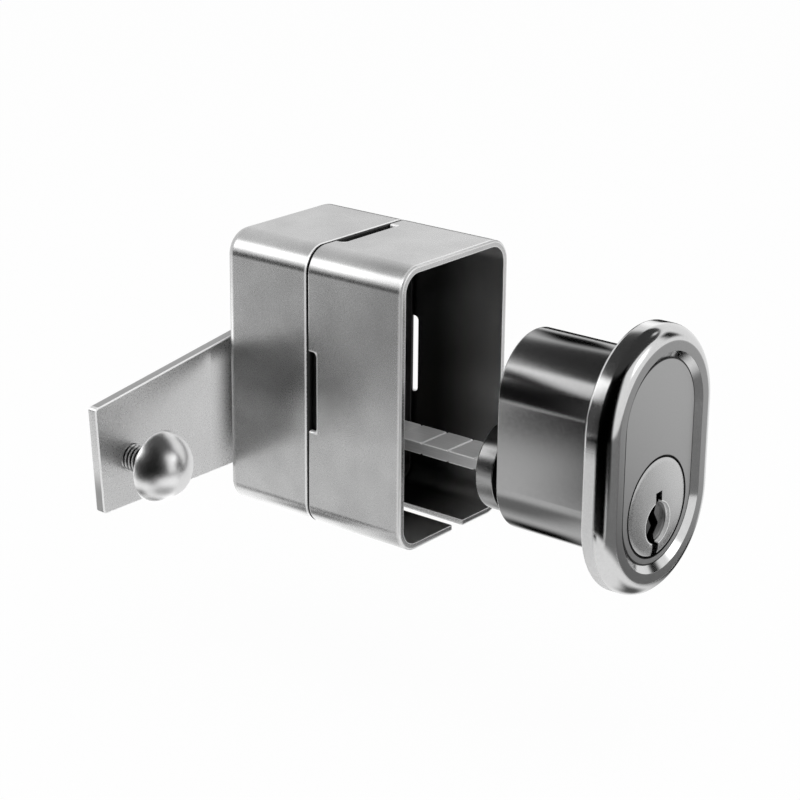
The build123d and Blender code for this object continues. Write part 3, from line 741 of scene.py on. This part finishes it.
class Wire:
    """A node's output that can be added, multiplied and compared, each by its own Math node."""

    def __init__(self, nodes, socket):
        self.nodes = nodes
        self.socket = socket

    def math(self, operation, *others):
        return self.nodes.math(operation, self, *others)

    def __add__(self, other):
        return self.nodes.math("ADD", self, other)

    def __sub__(self, other):
        return self.nodes.math("SUBTRACT", self, other)

    def __rsub__(self, other):
        return self.nodes.math("SUBTRACT", other, self)

    def __mul__(self, other):
        return self.nodes.math("MULTIPLY", self, other)

    def __rmul__(self, other):
        return self.nodes.math("MULTIPLY", other, self)


class Nodes:
    """A node tree of one finish, floor or sky."""

    def __init__(self, tree):
        self.tree = tree
        tree.nodes.clear()

    def node(self, kind, settings=None, inputs=None, output=0):
        """Adds a node, sets it up, fills its inputs and returns one output."""
        made = self.tree.nodes.new(kind)
        for name, value in (settings or {}).items():
            setattr(made, name, value)
        for name, value in (inputs or {}).items():
            if isinstance(value, Wire):
                self.tree.links.new(value.socket, made.inputs[name])
            else:
                made.inputs[name].default_value = value
        return Wire(self, made.outputs[output]) if len(made.outputs) else None

    def math(self, operation, *values):
        made = self.node("ShaderNodeMath", {"operation": operation})
        for number, value in enumerate(values):
            place = made.socket.node.inputs[number]
            if isinstance(value, Wire):
                self.tree.links.new(value.socket, place)
            else:
                place.default_value = value
        return made

    def place(self, scale=(1, 1, 1)):
        """Object coordinates, stretched for a pattern."""
        spot = self.node("ShaderNodeTexCoord", output="Object")
        return self.node("ShaderNodeMapping", inputs={"Vector": spot, "Scale": scale})

    def axes(self):
        """The three object coordinates, in millimetres."""
        spot = self.node("ShaderNodeTexCoord", output="Object")
        parts = self.node("ShaderNodeSeparateXYZ", inputs={"Vector": spot})
        return [1000.0 * Wire(self, output) for output in parts.socket.node.outputs]

    def noise(self, where, size, detail=3.0, rough=0.5):
        """Cloudy noise, 0 to 1, whose lumps are about the given number of millimetres."""
        return self.node(
            "ShaderNodeTexNoise",
            inputs={"Vector": where, "Scale": 1000.0 / size, "Detail": detail, "Roughness": rough},
        )

    def ease(self, value, low, high, start=0.0, end=1.0):
        """A soft step from start to end while the value goes from low to high."""
        return self.node(
            "ShaderNodeMapRange",
            {"interpolation_type": "SMOOTHSTEP"},
            {"Value": value, "From Min": low, "From Max": high, "To Min": start, "To Max": end},
        )

    def blend(self, share, first, second):
        """A colour between two, by a share from 0 to 1."""
        made = self.node("ShaderNodeMix", {"data_type": "RGBA"}, output=2)
        sockets = made.socket.node.inputs
        for place, value in ((sockets[0], share), (sockets[6], first), (sockets[7], second)):
            if isinstance(value, Wire):
                self.tree.links.new(value.socket, place)
            else:
                place.default_value = value
        return made

    def mix_to_surface(self, share, first, second):
        """Ends a material with two shaders, mixed by a share from 0 to 1."""
        both = self.node("ShaderNodeMixShader", inputs={"Fac": share})
        for number, shader in ((1, first), (2, second)):
            self.tree.links.new(shader.socket, both.socket.node.inputs[number])
        self.node("ShaderNodeOutputMaterial", inputs={"Surface": both})


def new_finish(name):
    """An empty material and its nodes."""
    finish = bpy.data.materials.new(name)
    finish.use_nodes = True
    return finish, Nodes(finish.node_tree)


def diagonal(x, y):
    """How far apart two places lie whose distances along two axes are given."""
    return (x * x + y * y).math("SQRT")


def grey(value, warm=0.0):
    """A grey, a little warm or cool."""
    return (value * (1 + warm), value, value * (1 - warm), 1.0)


def metal(
    name,
    dark,
    light,
    rough,
    grain=0.25,
    depth=0.006,
    stretch=(1, 1, 1),
    layers=None,
    uneven=0.15,
    metallic=1.0,
):
    """A metal finish: a slightly cloudy colour, uneven gloss and a fine grain, which may be
    drawn out along one direction. Layers of another colour and gloss may lie over parts of it."""
    finish, nodes = new_finish(name)
    clouds = nodes.noise(nodes.place(), 9.0, 2.0)
    lines = nodes.noise(nodes.place(stretch), grain, 3.0, 0.6)
    share = nodes.ease(0.35 * clouds + 0.65 * lines, 0.35, 0.65)
    colour = nodes.blend(share, dark, light)
    gloss = nodes.ease(lines, 0.25, 0.75, rough * (1 - uneven), rough * (1 + uneven))
    shine = metallic
    for where, other_colour, other_rough, other_shine in layers(nodes) if layers else ():
        colour = nodes.blend(where, colour, other_colour)
        gloss = gloss * (1 - where) + other_rough * where
        shine = shine * (1 - where) + other_shine * where
    bump = nodes.node(
        "ShaderNodeBump", inputs={"Height": lines, "Distance": depth * MM, "Strength": 1.0}
    )
    shader = nodes.node(
        "ShaderNodeBsdfPrincipled",
        inputs={
            "Base Color": colour,
            "Metallic": shine,
            "Roughness": gloss,
            "Normal": bump,
        },
    )
    nodes.node("ShaderNodeOutputMaterial", inputs={"Surface": shader})
    return finish


def case_layers(nodes):
    """Painted highlights along the ring's and cover's edges and round the notches, and painted
    shade inside the box, pale near its open front, in the seam between them and on the lip that
    the notches uncover."""
    x, y, z = nodes.axes()
    across = x.math("ABSOLUTE") - CORNER_X
    up = (z - CASE_MIDDLE).math("ABSOLUTE") - (CORNER_HIGH - CORNER_LOW) / 2
    past = diagonal(across.math("MAXIMUM", 0.0), up.math("MAXIMUM", 0.0))
    outside = past + across.math("MAXIMUM", up).math("MINIMUM", 0.0) - OUTSIDE
    # Painted shade inside the box, and a painted shadow line in the seam between ring and cover
    inner = nodes.ease(outside, -1.45, -1.2, 1.0, 0.0)
    inner = inner * nodes.ease(y, COVER_INSIDE + 0.5, COVER_INSIDE + 0.9, 1.0, 0.0)
    seam = nodes.ease((y - RING_BACK).math("ABSOLUTE"), 0.2, 0.34, 1.0, 0.0)
    seam = seam * nodes.ease(outside, -0.12, -0.02, 1.0, 0.0)
    # Painted light and shade inside the box: pale near its open front, near black deep inside
    dark = nodes.blend(nodes.ease(y, 0.0, 18.0), grey(0.80), grey(0.07))
    # Painted highlights: bright lines along the cover's front edge, the ring's front edge and
    # round the notches
    painted_cover_highlight = nodes.ease((y - RING_BACK - 0.6).math("ABSOLUTE"), 0.1, 0.4, 1.0, 0.0)
    painted_ring_highlight = nodes.ease(y, 0.3, 1.1, 0.8, 0.0) * nodes.ease(outside, -0.6, -0.4)
    notch = notch_distance(y, z - CASE_MIDDLE)
    notch = nodes.math("MINIMUM", notch, notch_distance(y, x))
    painted_notch_highlight = nodes.ease(notch, 0.15, 0.65, 1.0, 0.0)
    painted_notch_highlight = painted_notch_highlight * nodes.ease(y, RING_BACK - 0.3, RING_BACK - 0.1, 1.0, 0.0)
    bright = painted_cover_highlight.math("MAXIMUM", painted_ring_highlight).math("MAXIMUM", painted_notch_highlight)
    bright = bright * nodes.ease(outside, -1.2, -0.9)
    return [
        (bright, grey(0.92), 0.34, 0.5),
        (inner.math("MAXIMUM", seam), dark, 0.42, 1.0),
    ]


def notch_distance(y, along):
    """How far a place lies from the outline of a prying notch, in millimetres."""
    beside = along.math("ABSOLUTE") - NOTCH_LENGTH / 2
    before = (RING_BACK - NOTCH_DEPTH) - y
    return diagonal(beside.math("MAXIMUM", 0.0), before.math("MAXIMUM", 0.0))


def face_layers(nodes):
    """The oval's satin nickel face, with a painted dark shade line at its rim and a painted shadow
    in the gap round the plug.
    """
    x, y, z = nodes.axes()
    fine = nodes.noise(nodes.place(), 0.35, 2.0)
    front = nodes.ease(y, DRUM_FRONT + 0.05, DRUM_FRONT + 0.12, 1.0, 0.0)
    middle, half = (OVAL_LOW + OVAL_HIGH) / 2, (OVAL_HIGH - OVAL_LOW) / 2
    up = ((z - middle).math("ABSOLUTE") - half).math("MAXIMUM", 0.0)
    # Painted shade: a dark line along the face's rim
    rim = nodes.ease(diagonal(x, up), OVAL_RADIUS - 0.35, OVAL_RADIUS - 0.2) * front
    return [
        (front, nodes.blend(fine, grey(0.36), grey(0.41)), 0.33, 1.0),
        (rim, grey(0.04), 0.4, 1.0),
        painted_gap_shadow(nodes, x, y, z),
    ]


def painted_gap_shadow(nodes, x, y, z):
    """A painted shadow: a dark ring where the plug meets the face."""
    from_gap = (diagonal(x, z) - (PLUG_HEAD + 0.05)).math("ABSOLUTE")
    ring = nodes.ease(from_gap, 0.22, 0.32, 1.0, 0.0)
    ring = ring * nodes.ease(y, DRUM_FRONT + 0.2, DRUM_FRONT + 0.3, 1.0, 0.0)
    return ring, grey(0.015), 0.6, 1.0


def plug_layers(nodes):
    """The painted shadow round the plug, painted shade in the recess, a painted highlight round
    its rim, and painted shade deep in the keyway.
    """
    x, y, z = nodes.axes()
    depth = y - PLUG_FRONT
    outward = diagonal(x - RECESS[0], z - RECESS[1]) - RECESS_RADIUS
    # A painted highlight round the recess's rim
    rim = nodes.ease(outward.math("ABSOLUTE"), 0.14, 0.3, 1.0, 0.0)
    # Painted shade in the recess, darker on its left than on its right
    inside = nodes.ease(depth, 0.1, 0.2) * nodes.ease(outward, 0.6, 0.7, 1.0, 0.0)
    painted_recess_shade = nodes.blend(nodes.ease(x, -0.6, 0.6), grey(0.08), grey(0.15))
    return [
        (inside, painted_recess_shade, 0.3, 1.0),
        (rim * nodes.ease(depth, 0.8, 0.9, 1.0, 0.0), grey(0.85), 0.35, 0.4),
        # Painted shade deep in the keyway
        (nodes.ease(depth, 1.3, 1.8), grey(0.02), 0.5, 1.0),
        painted_gap_shadow(nodes, x, y, z),
    ]


def lip_layers(nodes):
    """The collar's flat lip, satin, and its side, matt and painted pale below its top as a painted
    sheen, beside the polished round between them.
    """
    _, y, z = nodes.axes()
    depth = y - COLLAR_FRONT
    fine = nodes.noise(nodes.place(), 0.35, 2.0)
    flat = nodes.ease(depth, 0.005, 0.03, 1.0, 0.0)
    # A painted sheen: the collar's side painted pale and matt, fading out towards its top
    side = nodes.ease(depth, 3.1, 3.9) * nodes.ease(z, 13.5, 19.0, 1.0, 0.0)
    return [
        (flat, nodes.blend(fine, grey(0.26), grey(0.31)), 0.3, 1.0),
        (side, nodes.blend(fine, grey(0.60), grey(0.78)), 0.38, 0.2),
    ]


def thread_layers(nodes):
    """Painted shade in the thread's root, against which the crests stand bright."""
    x, _, z = nodes.axes()
    radius = diagonal(x - STUD[0], z - STUD[1])
    # Painted shade: near black in the thread's root
    root = nodes.ease(radius, STUD_RADIUS - 0.45, STUD_RADIUS - 0.1, 1.0, 0.0)
    return [(root, grey(0.03), 0.4, 1.0)]


def arm_layers(nodes):
    """The arm's long edge faces, darker and duller than its faces, and a painted highlight along
    its corners.
    """
    x, y, _ = nodes.axes()
    middle = (y - (ARM_FRONT + ARM_BACK) / 2).math("ABSOLUTE")
    long_edge_faces = nodes.ease(middle, 0.88, 0.96, 1.0, 0.0) * nodes.ease(x, -52.6, -52.2)
    # A painted highlight: bright lines along the arm's corners
    corner = nodes.ease(middle, 0.86, 0.96) * nodes.ease(middle, 1.185, 1.198, 1.0, 0.0)
    return [(long_edge_faces, grey(0.34), 0.35, 0.8), (corner, grey(0.94), 0.3, 0.1)]


def bar_layers(nodes):
    """A painted highlight along the bar's edges."""
    x, _, z = nodes.axes()
    # Painted highlight: a bright line where the bar's sides meet its top and bottom
    side = nodes.ease(x.math("ABSOLUTE"), BAR_SIDE - 0.28, BAR_SIDE - 0.14)
    flat = nodes.ease(z.math("ABSOLUTE"), BAR_TOP - 0.28, BAR_TOP - 0.14)
    return [(side * flat, grey(0.9), 0.3, 0.2)]


# Each finish: a darker and a lighter colour, the roughness, the grain's size and its depth
satin_steel = metal(
    "satin_steel", grey(0.44), grey(0.56), 0.25, 0.30, 0.004, layers=case_layers
)
arm_steel = metal(
    "arm_steel", grey(0.66), grey(0.74), 0.30, 0.32, 0.0002, layers=arm_layers, metallic=0.8
)
zinc_plate = metal("zinc_plate", grey(0.45), grey(0.58, -0.01), 0.28, 0.35, 0.004)
thread_steel = metal(
    "thread_steel", grey(0.60), grey(0.72), 0.24, 0.35, 0.002, layers=thread_layers
)
bar_steel = metal(
    "bar_steel", grey(0.62), grey(0.72), 0.40, 0.3, 0.003, (1, 0.05, 1), bar_layers, metallic=0.5
)
disc_chrome = metal("disc_chrome", grey(0.30), grey(0.34), 0.20, 0.4, 0.0004)
collar_chrome = metal(
    "collar_chrome", grey(0.62), grey(0.66), 0.13, 0.8, 0.0003, layers=lip_layers, uneven=0.06
)
oval_chrome = metal(
    "oval_chrome", grey(0.35), grey(0.37), 0.13, 0.8, 0.0003, layers=face_layers, uneven=0.06
)
plug_nickel = metal(
    "plug_nickel", grey(0.50), grey(0.58), 0.28, 0.35, 0.001, layers=plug_layers
)
polished = metal("polished_steel", grey(0.88), grey(0.92), 0.32, 0.5, 0.0001, uneven=0.02)
hard_steel = metal("hard_steel", grey(0.20), grey(0.27), 0.35, 0.3, 0.003)
spring_steel = metal("spring_steel", grey(0.14), grey(0.20), 0.35, 0.3, 0.003)
bronze = metal(
    "sintered_bronze", (0.34, 0.20, 0.09, 1), (0.44, 0.28, 0.13, 1), 0.38, 0.3, 0.006
)
brass = metal("pin_brass", (0.55, 0.38, 0.15, 1), (0.66, 0.48, 0.22, 1), 0.25, 0.3, 0.003)

wear(bent_ring(), "ring", "satin_steel", satin_steel, "front_ring")
wear(drawn_cover(), "case", "satin_steel", satin_steel, "rear_cover")
wear(swinging_arm(), "hub", "satin_steel", arm_steel, "locking_arm")
wear(domed_cap(), "cap", "polished_steel", polished, "stud_cap")
wear(screwed_stud(), "stud", "zinc_plated_steel", thread_steel, "threaded_stud")
wear(scored_bar(), "plug", "bar_steel", bar_steel, "tail_bar")
wear(turned_disc(), "plug", "dark_chrome", disc_chrome, "driver_disc")
wear(oval_drum(), "cylinder", "dark_chrome", oval_chrome, "cylinder_body")
wear(round_collar(), "cylinder", "dark_chrome", collar_chrome, "cylinder_collar")
wear(keyed_plug(), "plug", "satin_nickel", plug_nickel, "plug")
coils = pin_coils()
wear(coils, "cylinder", "spring_steel", spring_steel, "pin_springs")
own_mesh(coils)

# The solids that stay as they are get their finishes
KEPT = {
    "chassis_plate": zinc_plate,
    "chassis_pillars": zinc_plate,
    "chassis_screws": zinc_plate,
    "arm_spacer": zinc_plate,
    "arm_washer": zinc_plate,
    "arm_screw": zinc_plate,
    "stud_nut": zinc_plate,
    "driver_screws": zinc_plate,
    "plate_bush": bronze,
    "cover_bush": bronze,
    "spring_washer": spring_steel,
    "retaining_ring": spring_steel,
    "collar_clip": spring_steel,
    "stop_pin": hard_steel,
    "driver_pins": hard_steel,
    "drive_hub": hard_steel,
    "spring_cover": brass,
    "key_pins": brass,
}
for node_name, finish in KEPT.items():
    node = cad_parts[node_name]
    node.data.materials.clear()
    node.data.materials.append(finish)


# The studio


def background_rays(nodes):
    """1 for rays that show a background: straight from the camera, mirrored or through glass."""
    path = nodes.node("ShaderNodeLightPath").socket.node.outputs
    names = ("Is Camera Ray", "Is Glossy Ray", "Is Transmission Ray")
    seen, mirrored, through = (Wire(nodes, path[name]) for name in names)
    return seen.math("MAXIMUM", mirrored).math("MAXIMUM", through)


def sky():
    """A plain white studio: white where it is seen or mirrored, softer where it lights."""
    world = bpy.data.worlds.new("studio")
    world.use_nodes = True
    bpy.context.scene.world = world
    nodes = Nodes(world.node_tree)
    strength = nodes.ease(background_rays(nodes), 0.0, 1.0, 0.8, 1.0)
    light = nodes.node(
        "ShaderNodeBackground", inputs={"Color": grey(1.0), "Strength": strength}
    )
    nodes.node("ShaderNodeOutputWorld", inputs={"Surface": light})


def floor():
    """A pale floor, white to the camera except where the object's shadow dims it a little."""
    leave_all()
    bpy.ops.mesh.primitive_plane_add(size=4.0, location=at(0, 0, FLOOR))
    plane = bpy.context.object
    plane.name = "floor"
    bpy.ops.object.transform_apply(location=True, rotation=True, scale=True)
    finish, nodes = new_finish("floor_white")
    matt = nodes.node("ShaderNodeBsdfDiffuse", inputs={"Color": grey(0.8)})
    glow = nodes.node("ShaderNodeEmission", inputs={"Color": grey(1.0), "Strength": 1.0})
    nodes.mix_to_surface(0.96 * background_rays(nodes), matt, glow)
    plane.data.materials.append(finish)


def seen_in_mirrors(plane, glow, share):
    """Makes a card one that only mirrored rays see: a light panel, or black with no glow."""
    leave_all()
    nodes = share.nodes
    lit = nodes.node("ShaderNodeEmission", inputs={"Color": grey(1.0), "Strength": glow})
    clear = nodes.node("ShaderNodeBsdfTransparent", inputs={"Color": grey(1.0)})
    nodes.mix_to_surface(share, clear, lit)
    plane.visible_camera = False
    plane.visible_diffuse = False
    plane.visible_shadow = False


def card_nodes(plane):
    """The nodes of a new material on a card."""
    finish, nodes = new_finish(plane.name)
    plane.data.materials.append(finish)
    return nodes


def card(name, middle, facing, width, height, glow, soft=0.3):
    """A flat studio card with soft edges, its middle and the place that it faces given."""
    leave_all()
    turn = (at(*facing) - at(*middle)).to_track_quat("Z", "Y").to_euler()
    bpy.ops.mesh.primitive_plane_add(size=MM, location=at(*middle), rotation=turn)
    plane = bpy.context.object
    plane.name = name
    plane.scale = (width, height, 1)
    bpy.ops.object.transform_apply(location=True, rotation=True, scale=True)
    nodes = card_nodes(plane)
    spot = nodes.node("ShaderNodeTexCoord", output="UV")
    parts = nodes.node("ShaderNodeSeparateXYZ", inputs={"Vector": spot})
    share = 1.0
    for output in parts.socket.node.outputs[:2]:
        along = Wire(nodes, output)
        share = nodes.ease(along.math("MINIMUM", 1 - along), 0.0, soft) * share
    seen_in_mirrors(plane, glow, share)


def flat_card(name, middle, width, height, glow, soft):
    """A card that lies flat and faces up."""
    x, y, _ = middle
    card(name, middle, (x, y, 0), width, height, glow, soft)


def toward(direction, reach):
    """A place round the object, its direction in degrees: 0 on the key side, 90 to the right."""
    angle = math.radians(direction)
    return reach * math.sin(angle), -reach * math.cos(angle)


def spun(name, sector, ends):
    """A line between two ends, spun round the object from one direction to another."""
    first, last, _ = sector
    strip = draw(name, ends)
    bpy.ops.mesh.spin(
        steps=48, angle=math.radians(first - last), center=(0, 0, 0), axis=(0, 0, 1)
    )
    leave_all()
    return strip


def round_wall(name, radius, sector, low, high):
    """A dark curved wall round the object. Its sector runs between two directions, and its ends,
    bottom and top each come with the width over which they fade."""
    place = toward(sector[0], radius)
    wall = spun(name, sector, [(*place, low[0]), (*place, high[0])])
    nodes = card_nodes(wall)
    x, y, z = nodes.axes()
    share = in_sector(nodes, x, y, sector)
    share = share * nodes.ease(z, low[0], low[0] + low[1])
    share = share * nodes.ease(z, high[0] - high[1], high[0], 1.0, 0.0)
    seen_in_mirrors(wall, 0.0, share)


def in_sector(nodes, x, y, sector):
    """1 between two directions round the object, with soft ends."""
    first, last, soft = sector
    angle = nodes.math("ARCTAN2", x, -1 * y) * math.degrees(1)
    inside = nodes.ease(angle, first, first + soft)
    return inside * nodes.ease(angle, last - soft, last, 1.0, 0.0)


def mat(name, sector, near_end, far_end, glow):
    """A soft-edged mat on the floor round the object, between two distances."""
    fade = 30.0
    ends = [(*toward(sector[0], reach), MAT) for reach in (near_end, far_end)]
    ring = spun(name, sector, ends)
    nodes = card_nodes(ring)
    x, y, _ = nodes.axes()
    reach = diagonal(x, y)
    share = in_sector(nodes, x, y, sector)
    share = share * nodes.ease(reach, near_end, near_end + fade)
    share = share * nodes.ease(reach, far_end - fade, far_end, 1.0, 0.0)
    seen_in_mirrors(ring, glow, share)


def fill_cards():
    """Bright cards that the arm and the dome mirror, one beside the box, which a slanting gap
    divides, and one behind it, which fades. Each shows from one side alone."""
    left, right, low, high = -19, -8, -45, 40
    beside = [(left, 14, low), (left, 52, low), (left, 52, high), (left, 14, high)]
    behind = [(left, 50, low), (right, 50, low), (right, 50, high), (left, 50, high)]
    for name, corners, from_back in (
        ("fill_card", beside, False),
        ("fill_card_behind", behind, True),
    ):
        plane = draw(name, corners, closed=True)
        fill()
        leave_all()
        nodes = card_nodes(plane)
        x, y, z = nodes.axes()
        slant = z - 0.747 * y
        share = nodes.ease(slant, -26.5, -22.5, 1.0, 0.0) + nodes.ease(slant, -19.0, -16.5)
        share = share * nodes.ease(x, -17.0, -10.0, 1.0, 0.0)
        share = share * nodes.ease(z, high - 10.0, high, 1.0, 0.0)
        geometry = nodes.node("ShaderNodeNewGeometry").socket.node
        back = Wire(nodes, geometry.outputs["Backfacing"])
        seen_in_mirrors(plane, 0.80, share * (back if from_back else 1 - back))


def lamp(name, place, aim, width, height, power):
    """A soft rectangular lamp that points at a place and that no metal mirrors."""
    light = bpy.data.lights.new(name, "AREA")
    light.shape = "RECTANGLE"
    light.size = width * MM
    light.size_y = height * MM
    light.energy = power
    holder = bpy.data.objects.new(name, light)
    holder.visible_glossy = False
    bpy.context.scene.collection.objects.link(holder)
    holder.location = at(*place)
    holder.rotation_mode = "QUATERNION"
    holder.rotation_quaternion = (at(*aim) - at(*place)).to_track_quat("-Z", "Y")


def camera():
    """The camera, placed as the photograph's perspective asks."""
    turn, rise, roll = math.radians(-52.83), math.radians(19.26), math.radians(1.04)
    distance = 479.38
    back = Vector(
        (math.sin(turn) * math.cos(rise), -math.cos(turn) * math.cos(rise), math.sin(rise))
    )
    right = (-back).cross(Vector((0, 0, 1))).normalized()
    up = right.cross(-back)
    level = right * math.cos(roll) + up * math.sin(roll)
    upright = up * math.cos(roll) - right * math.sin(roll)
    data = bpy.data.cameras.new("camera")
    data.sensor_width = 36.0
    data.lens = 102.71
    data.shift_x = -0.0676
    data.shift_y = -0.0061
    data.clip_start = 0.01
    data.clip_end = 20.0
    holder = bpy.data.objects.new("camera", data)
    bpy.context.scene.collection.objects.link(holder)
    holder.location = back * distance * MM + at(0, 0, CASE_MIDDLE)
    holder.rotation_mode = "QUATERNION"
    holder.rotation_quaternion = Matrix((level, upright, back)).transposed().to_quaternion()
    bpy.context.scene.camera = holder


sky()
floor()
camera()
# The walls, mats and cards that the metal mirrors. A card has its middle, the place that it
# faces, its width and height, its glow, where 0 is black and 1 as white as the sky, and how far
# its edges fade.
round_wall("dark_wall", 215, (-119, -12, 14), (-57, 1), (370, 90))
round_wall("dark_band", 216, (-126, -106, 7), (-42, 24), (122, 35))
round_wall("dark_band_behind", 217, (-150, -119, 7), (-12, 30), (72, 30))
round_wall("dark_strip_behind", 420, (104, 140, 10), (-57, 1), (110, 40))
mat("dark_mat", (-116, -30, 14), 120, 330, 0.0)
mat("front_mat", (-42, 47, 12), 105, 330, 0.22)
flat_card("dark_mat_left", (-124, -9, MAT), 86, 80, 0.0, 0.4)
flat_card("dark_mat_far", (-205, 58, MAT + 1), 110, 116, 0.0, 0.25)
flat_card("dark_mat_behind", (-62, 84, MAT), 46, 60, 0.05, 0.45)
flat_card("grey_mat_near", (-48, 16, MAT + 1), 90, 62, 0.3, 0.4)
flat_card("grey_mat_front", (18, -57, MAT + 1), 48, 54, 0.12, 0.4)
flat_card("dark_mat_right", (84, -66, MAT), 100, 130, 0.0, 0.4)
card("dark_card_front", (290, -219, 128), (0, -50, 10), 130, 240, 0.0, 0.35)
card("dome_shade", (-74, 22, 58), (-46, 41, 0), 60, 60, 0.0, 0.4)
flat_card("dark_mat_dome", (-70, 59, MAT + 3), 36, 32, 0.0, 0.35)
flat_card("grey_mat_dome", (-38, 56, MAT + 3), 46, 36, 0.18, 0.4)
mat("grey_mat", (-148, -112, 12), 205, 420, 0.62)
card("left_panel", (-290, 150, 245), (0, 0, 12), 210, 235, 1.5)
card("left_back_panel", (-300, 330, 270), (0, 20, 12), 320, 300, 3.0)
card("right_panel", (145, -400, 170), (0, 0, 12), 190, 170, 2.6)
card("rear_panel", (330, 170, 185), (0, 0, 12), 240, 220, 1.4, 0.5)
card("top_panel", (253, -131, 333), (0, -50, 37), 110, 90, 0.9, 0.4)
card("ceiling", (0, -115, 600), (0, -115, 0), 1400, 1100, 0.05, 0.06)
flat_card("dark_patch", (-185, 158, MAT + 2), 130, 90, 0.0, 0.5)
card("dark_card", (33, -6, 53), (0, -32, 31), 30, 34, 0.0, 0.35)
flat_card("bright_mat", (-5, 70, MAT + 2), 130, 100, 1.7, 0.4)
flat_card("bright_mat_behind", (-70, 260, MAT + 2), 200, 190, 2.6, 0.4)
flat_card("dark_mat_below", (15, 2, MAT + 2), 60, 46, 0.0, 0.4)
fill_cards()
lamp("soft_lamp", (-100, -200, 700), (0, 0, 0), 500, 500, 1.8)
bpy.context.scene.view_settings.view_transform = "Standard"
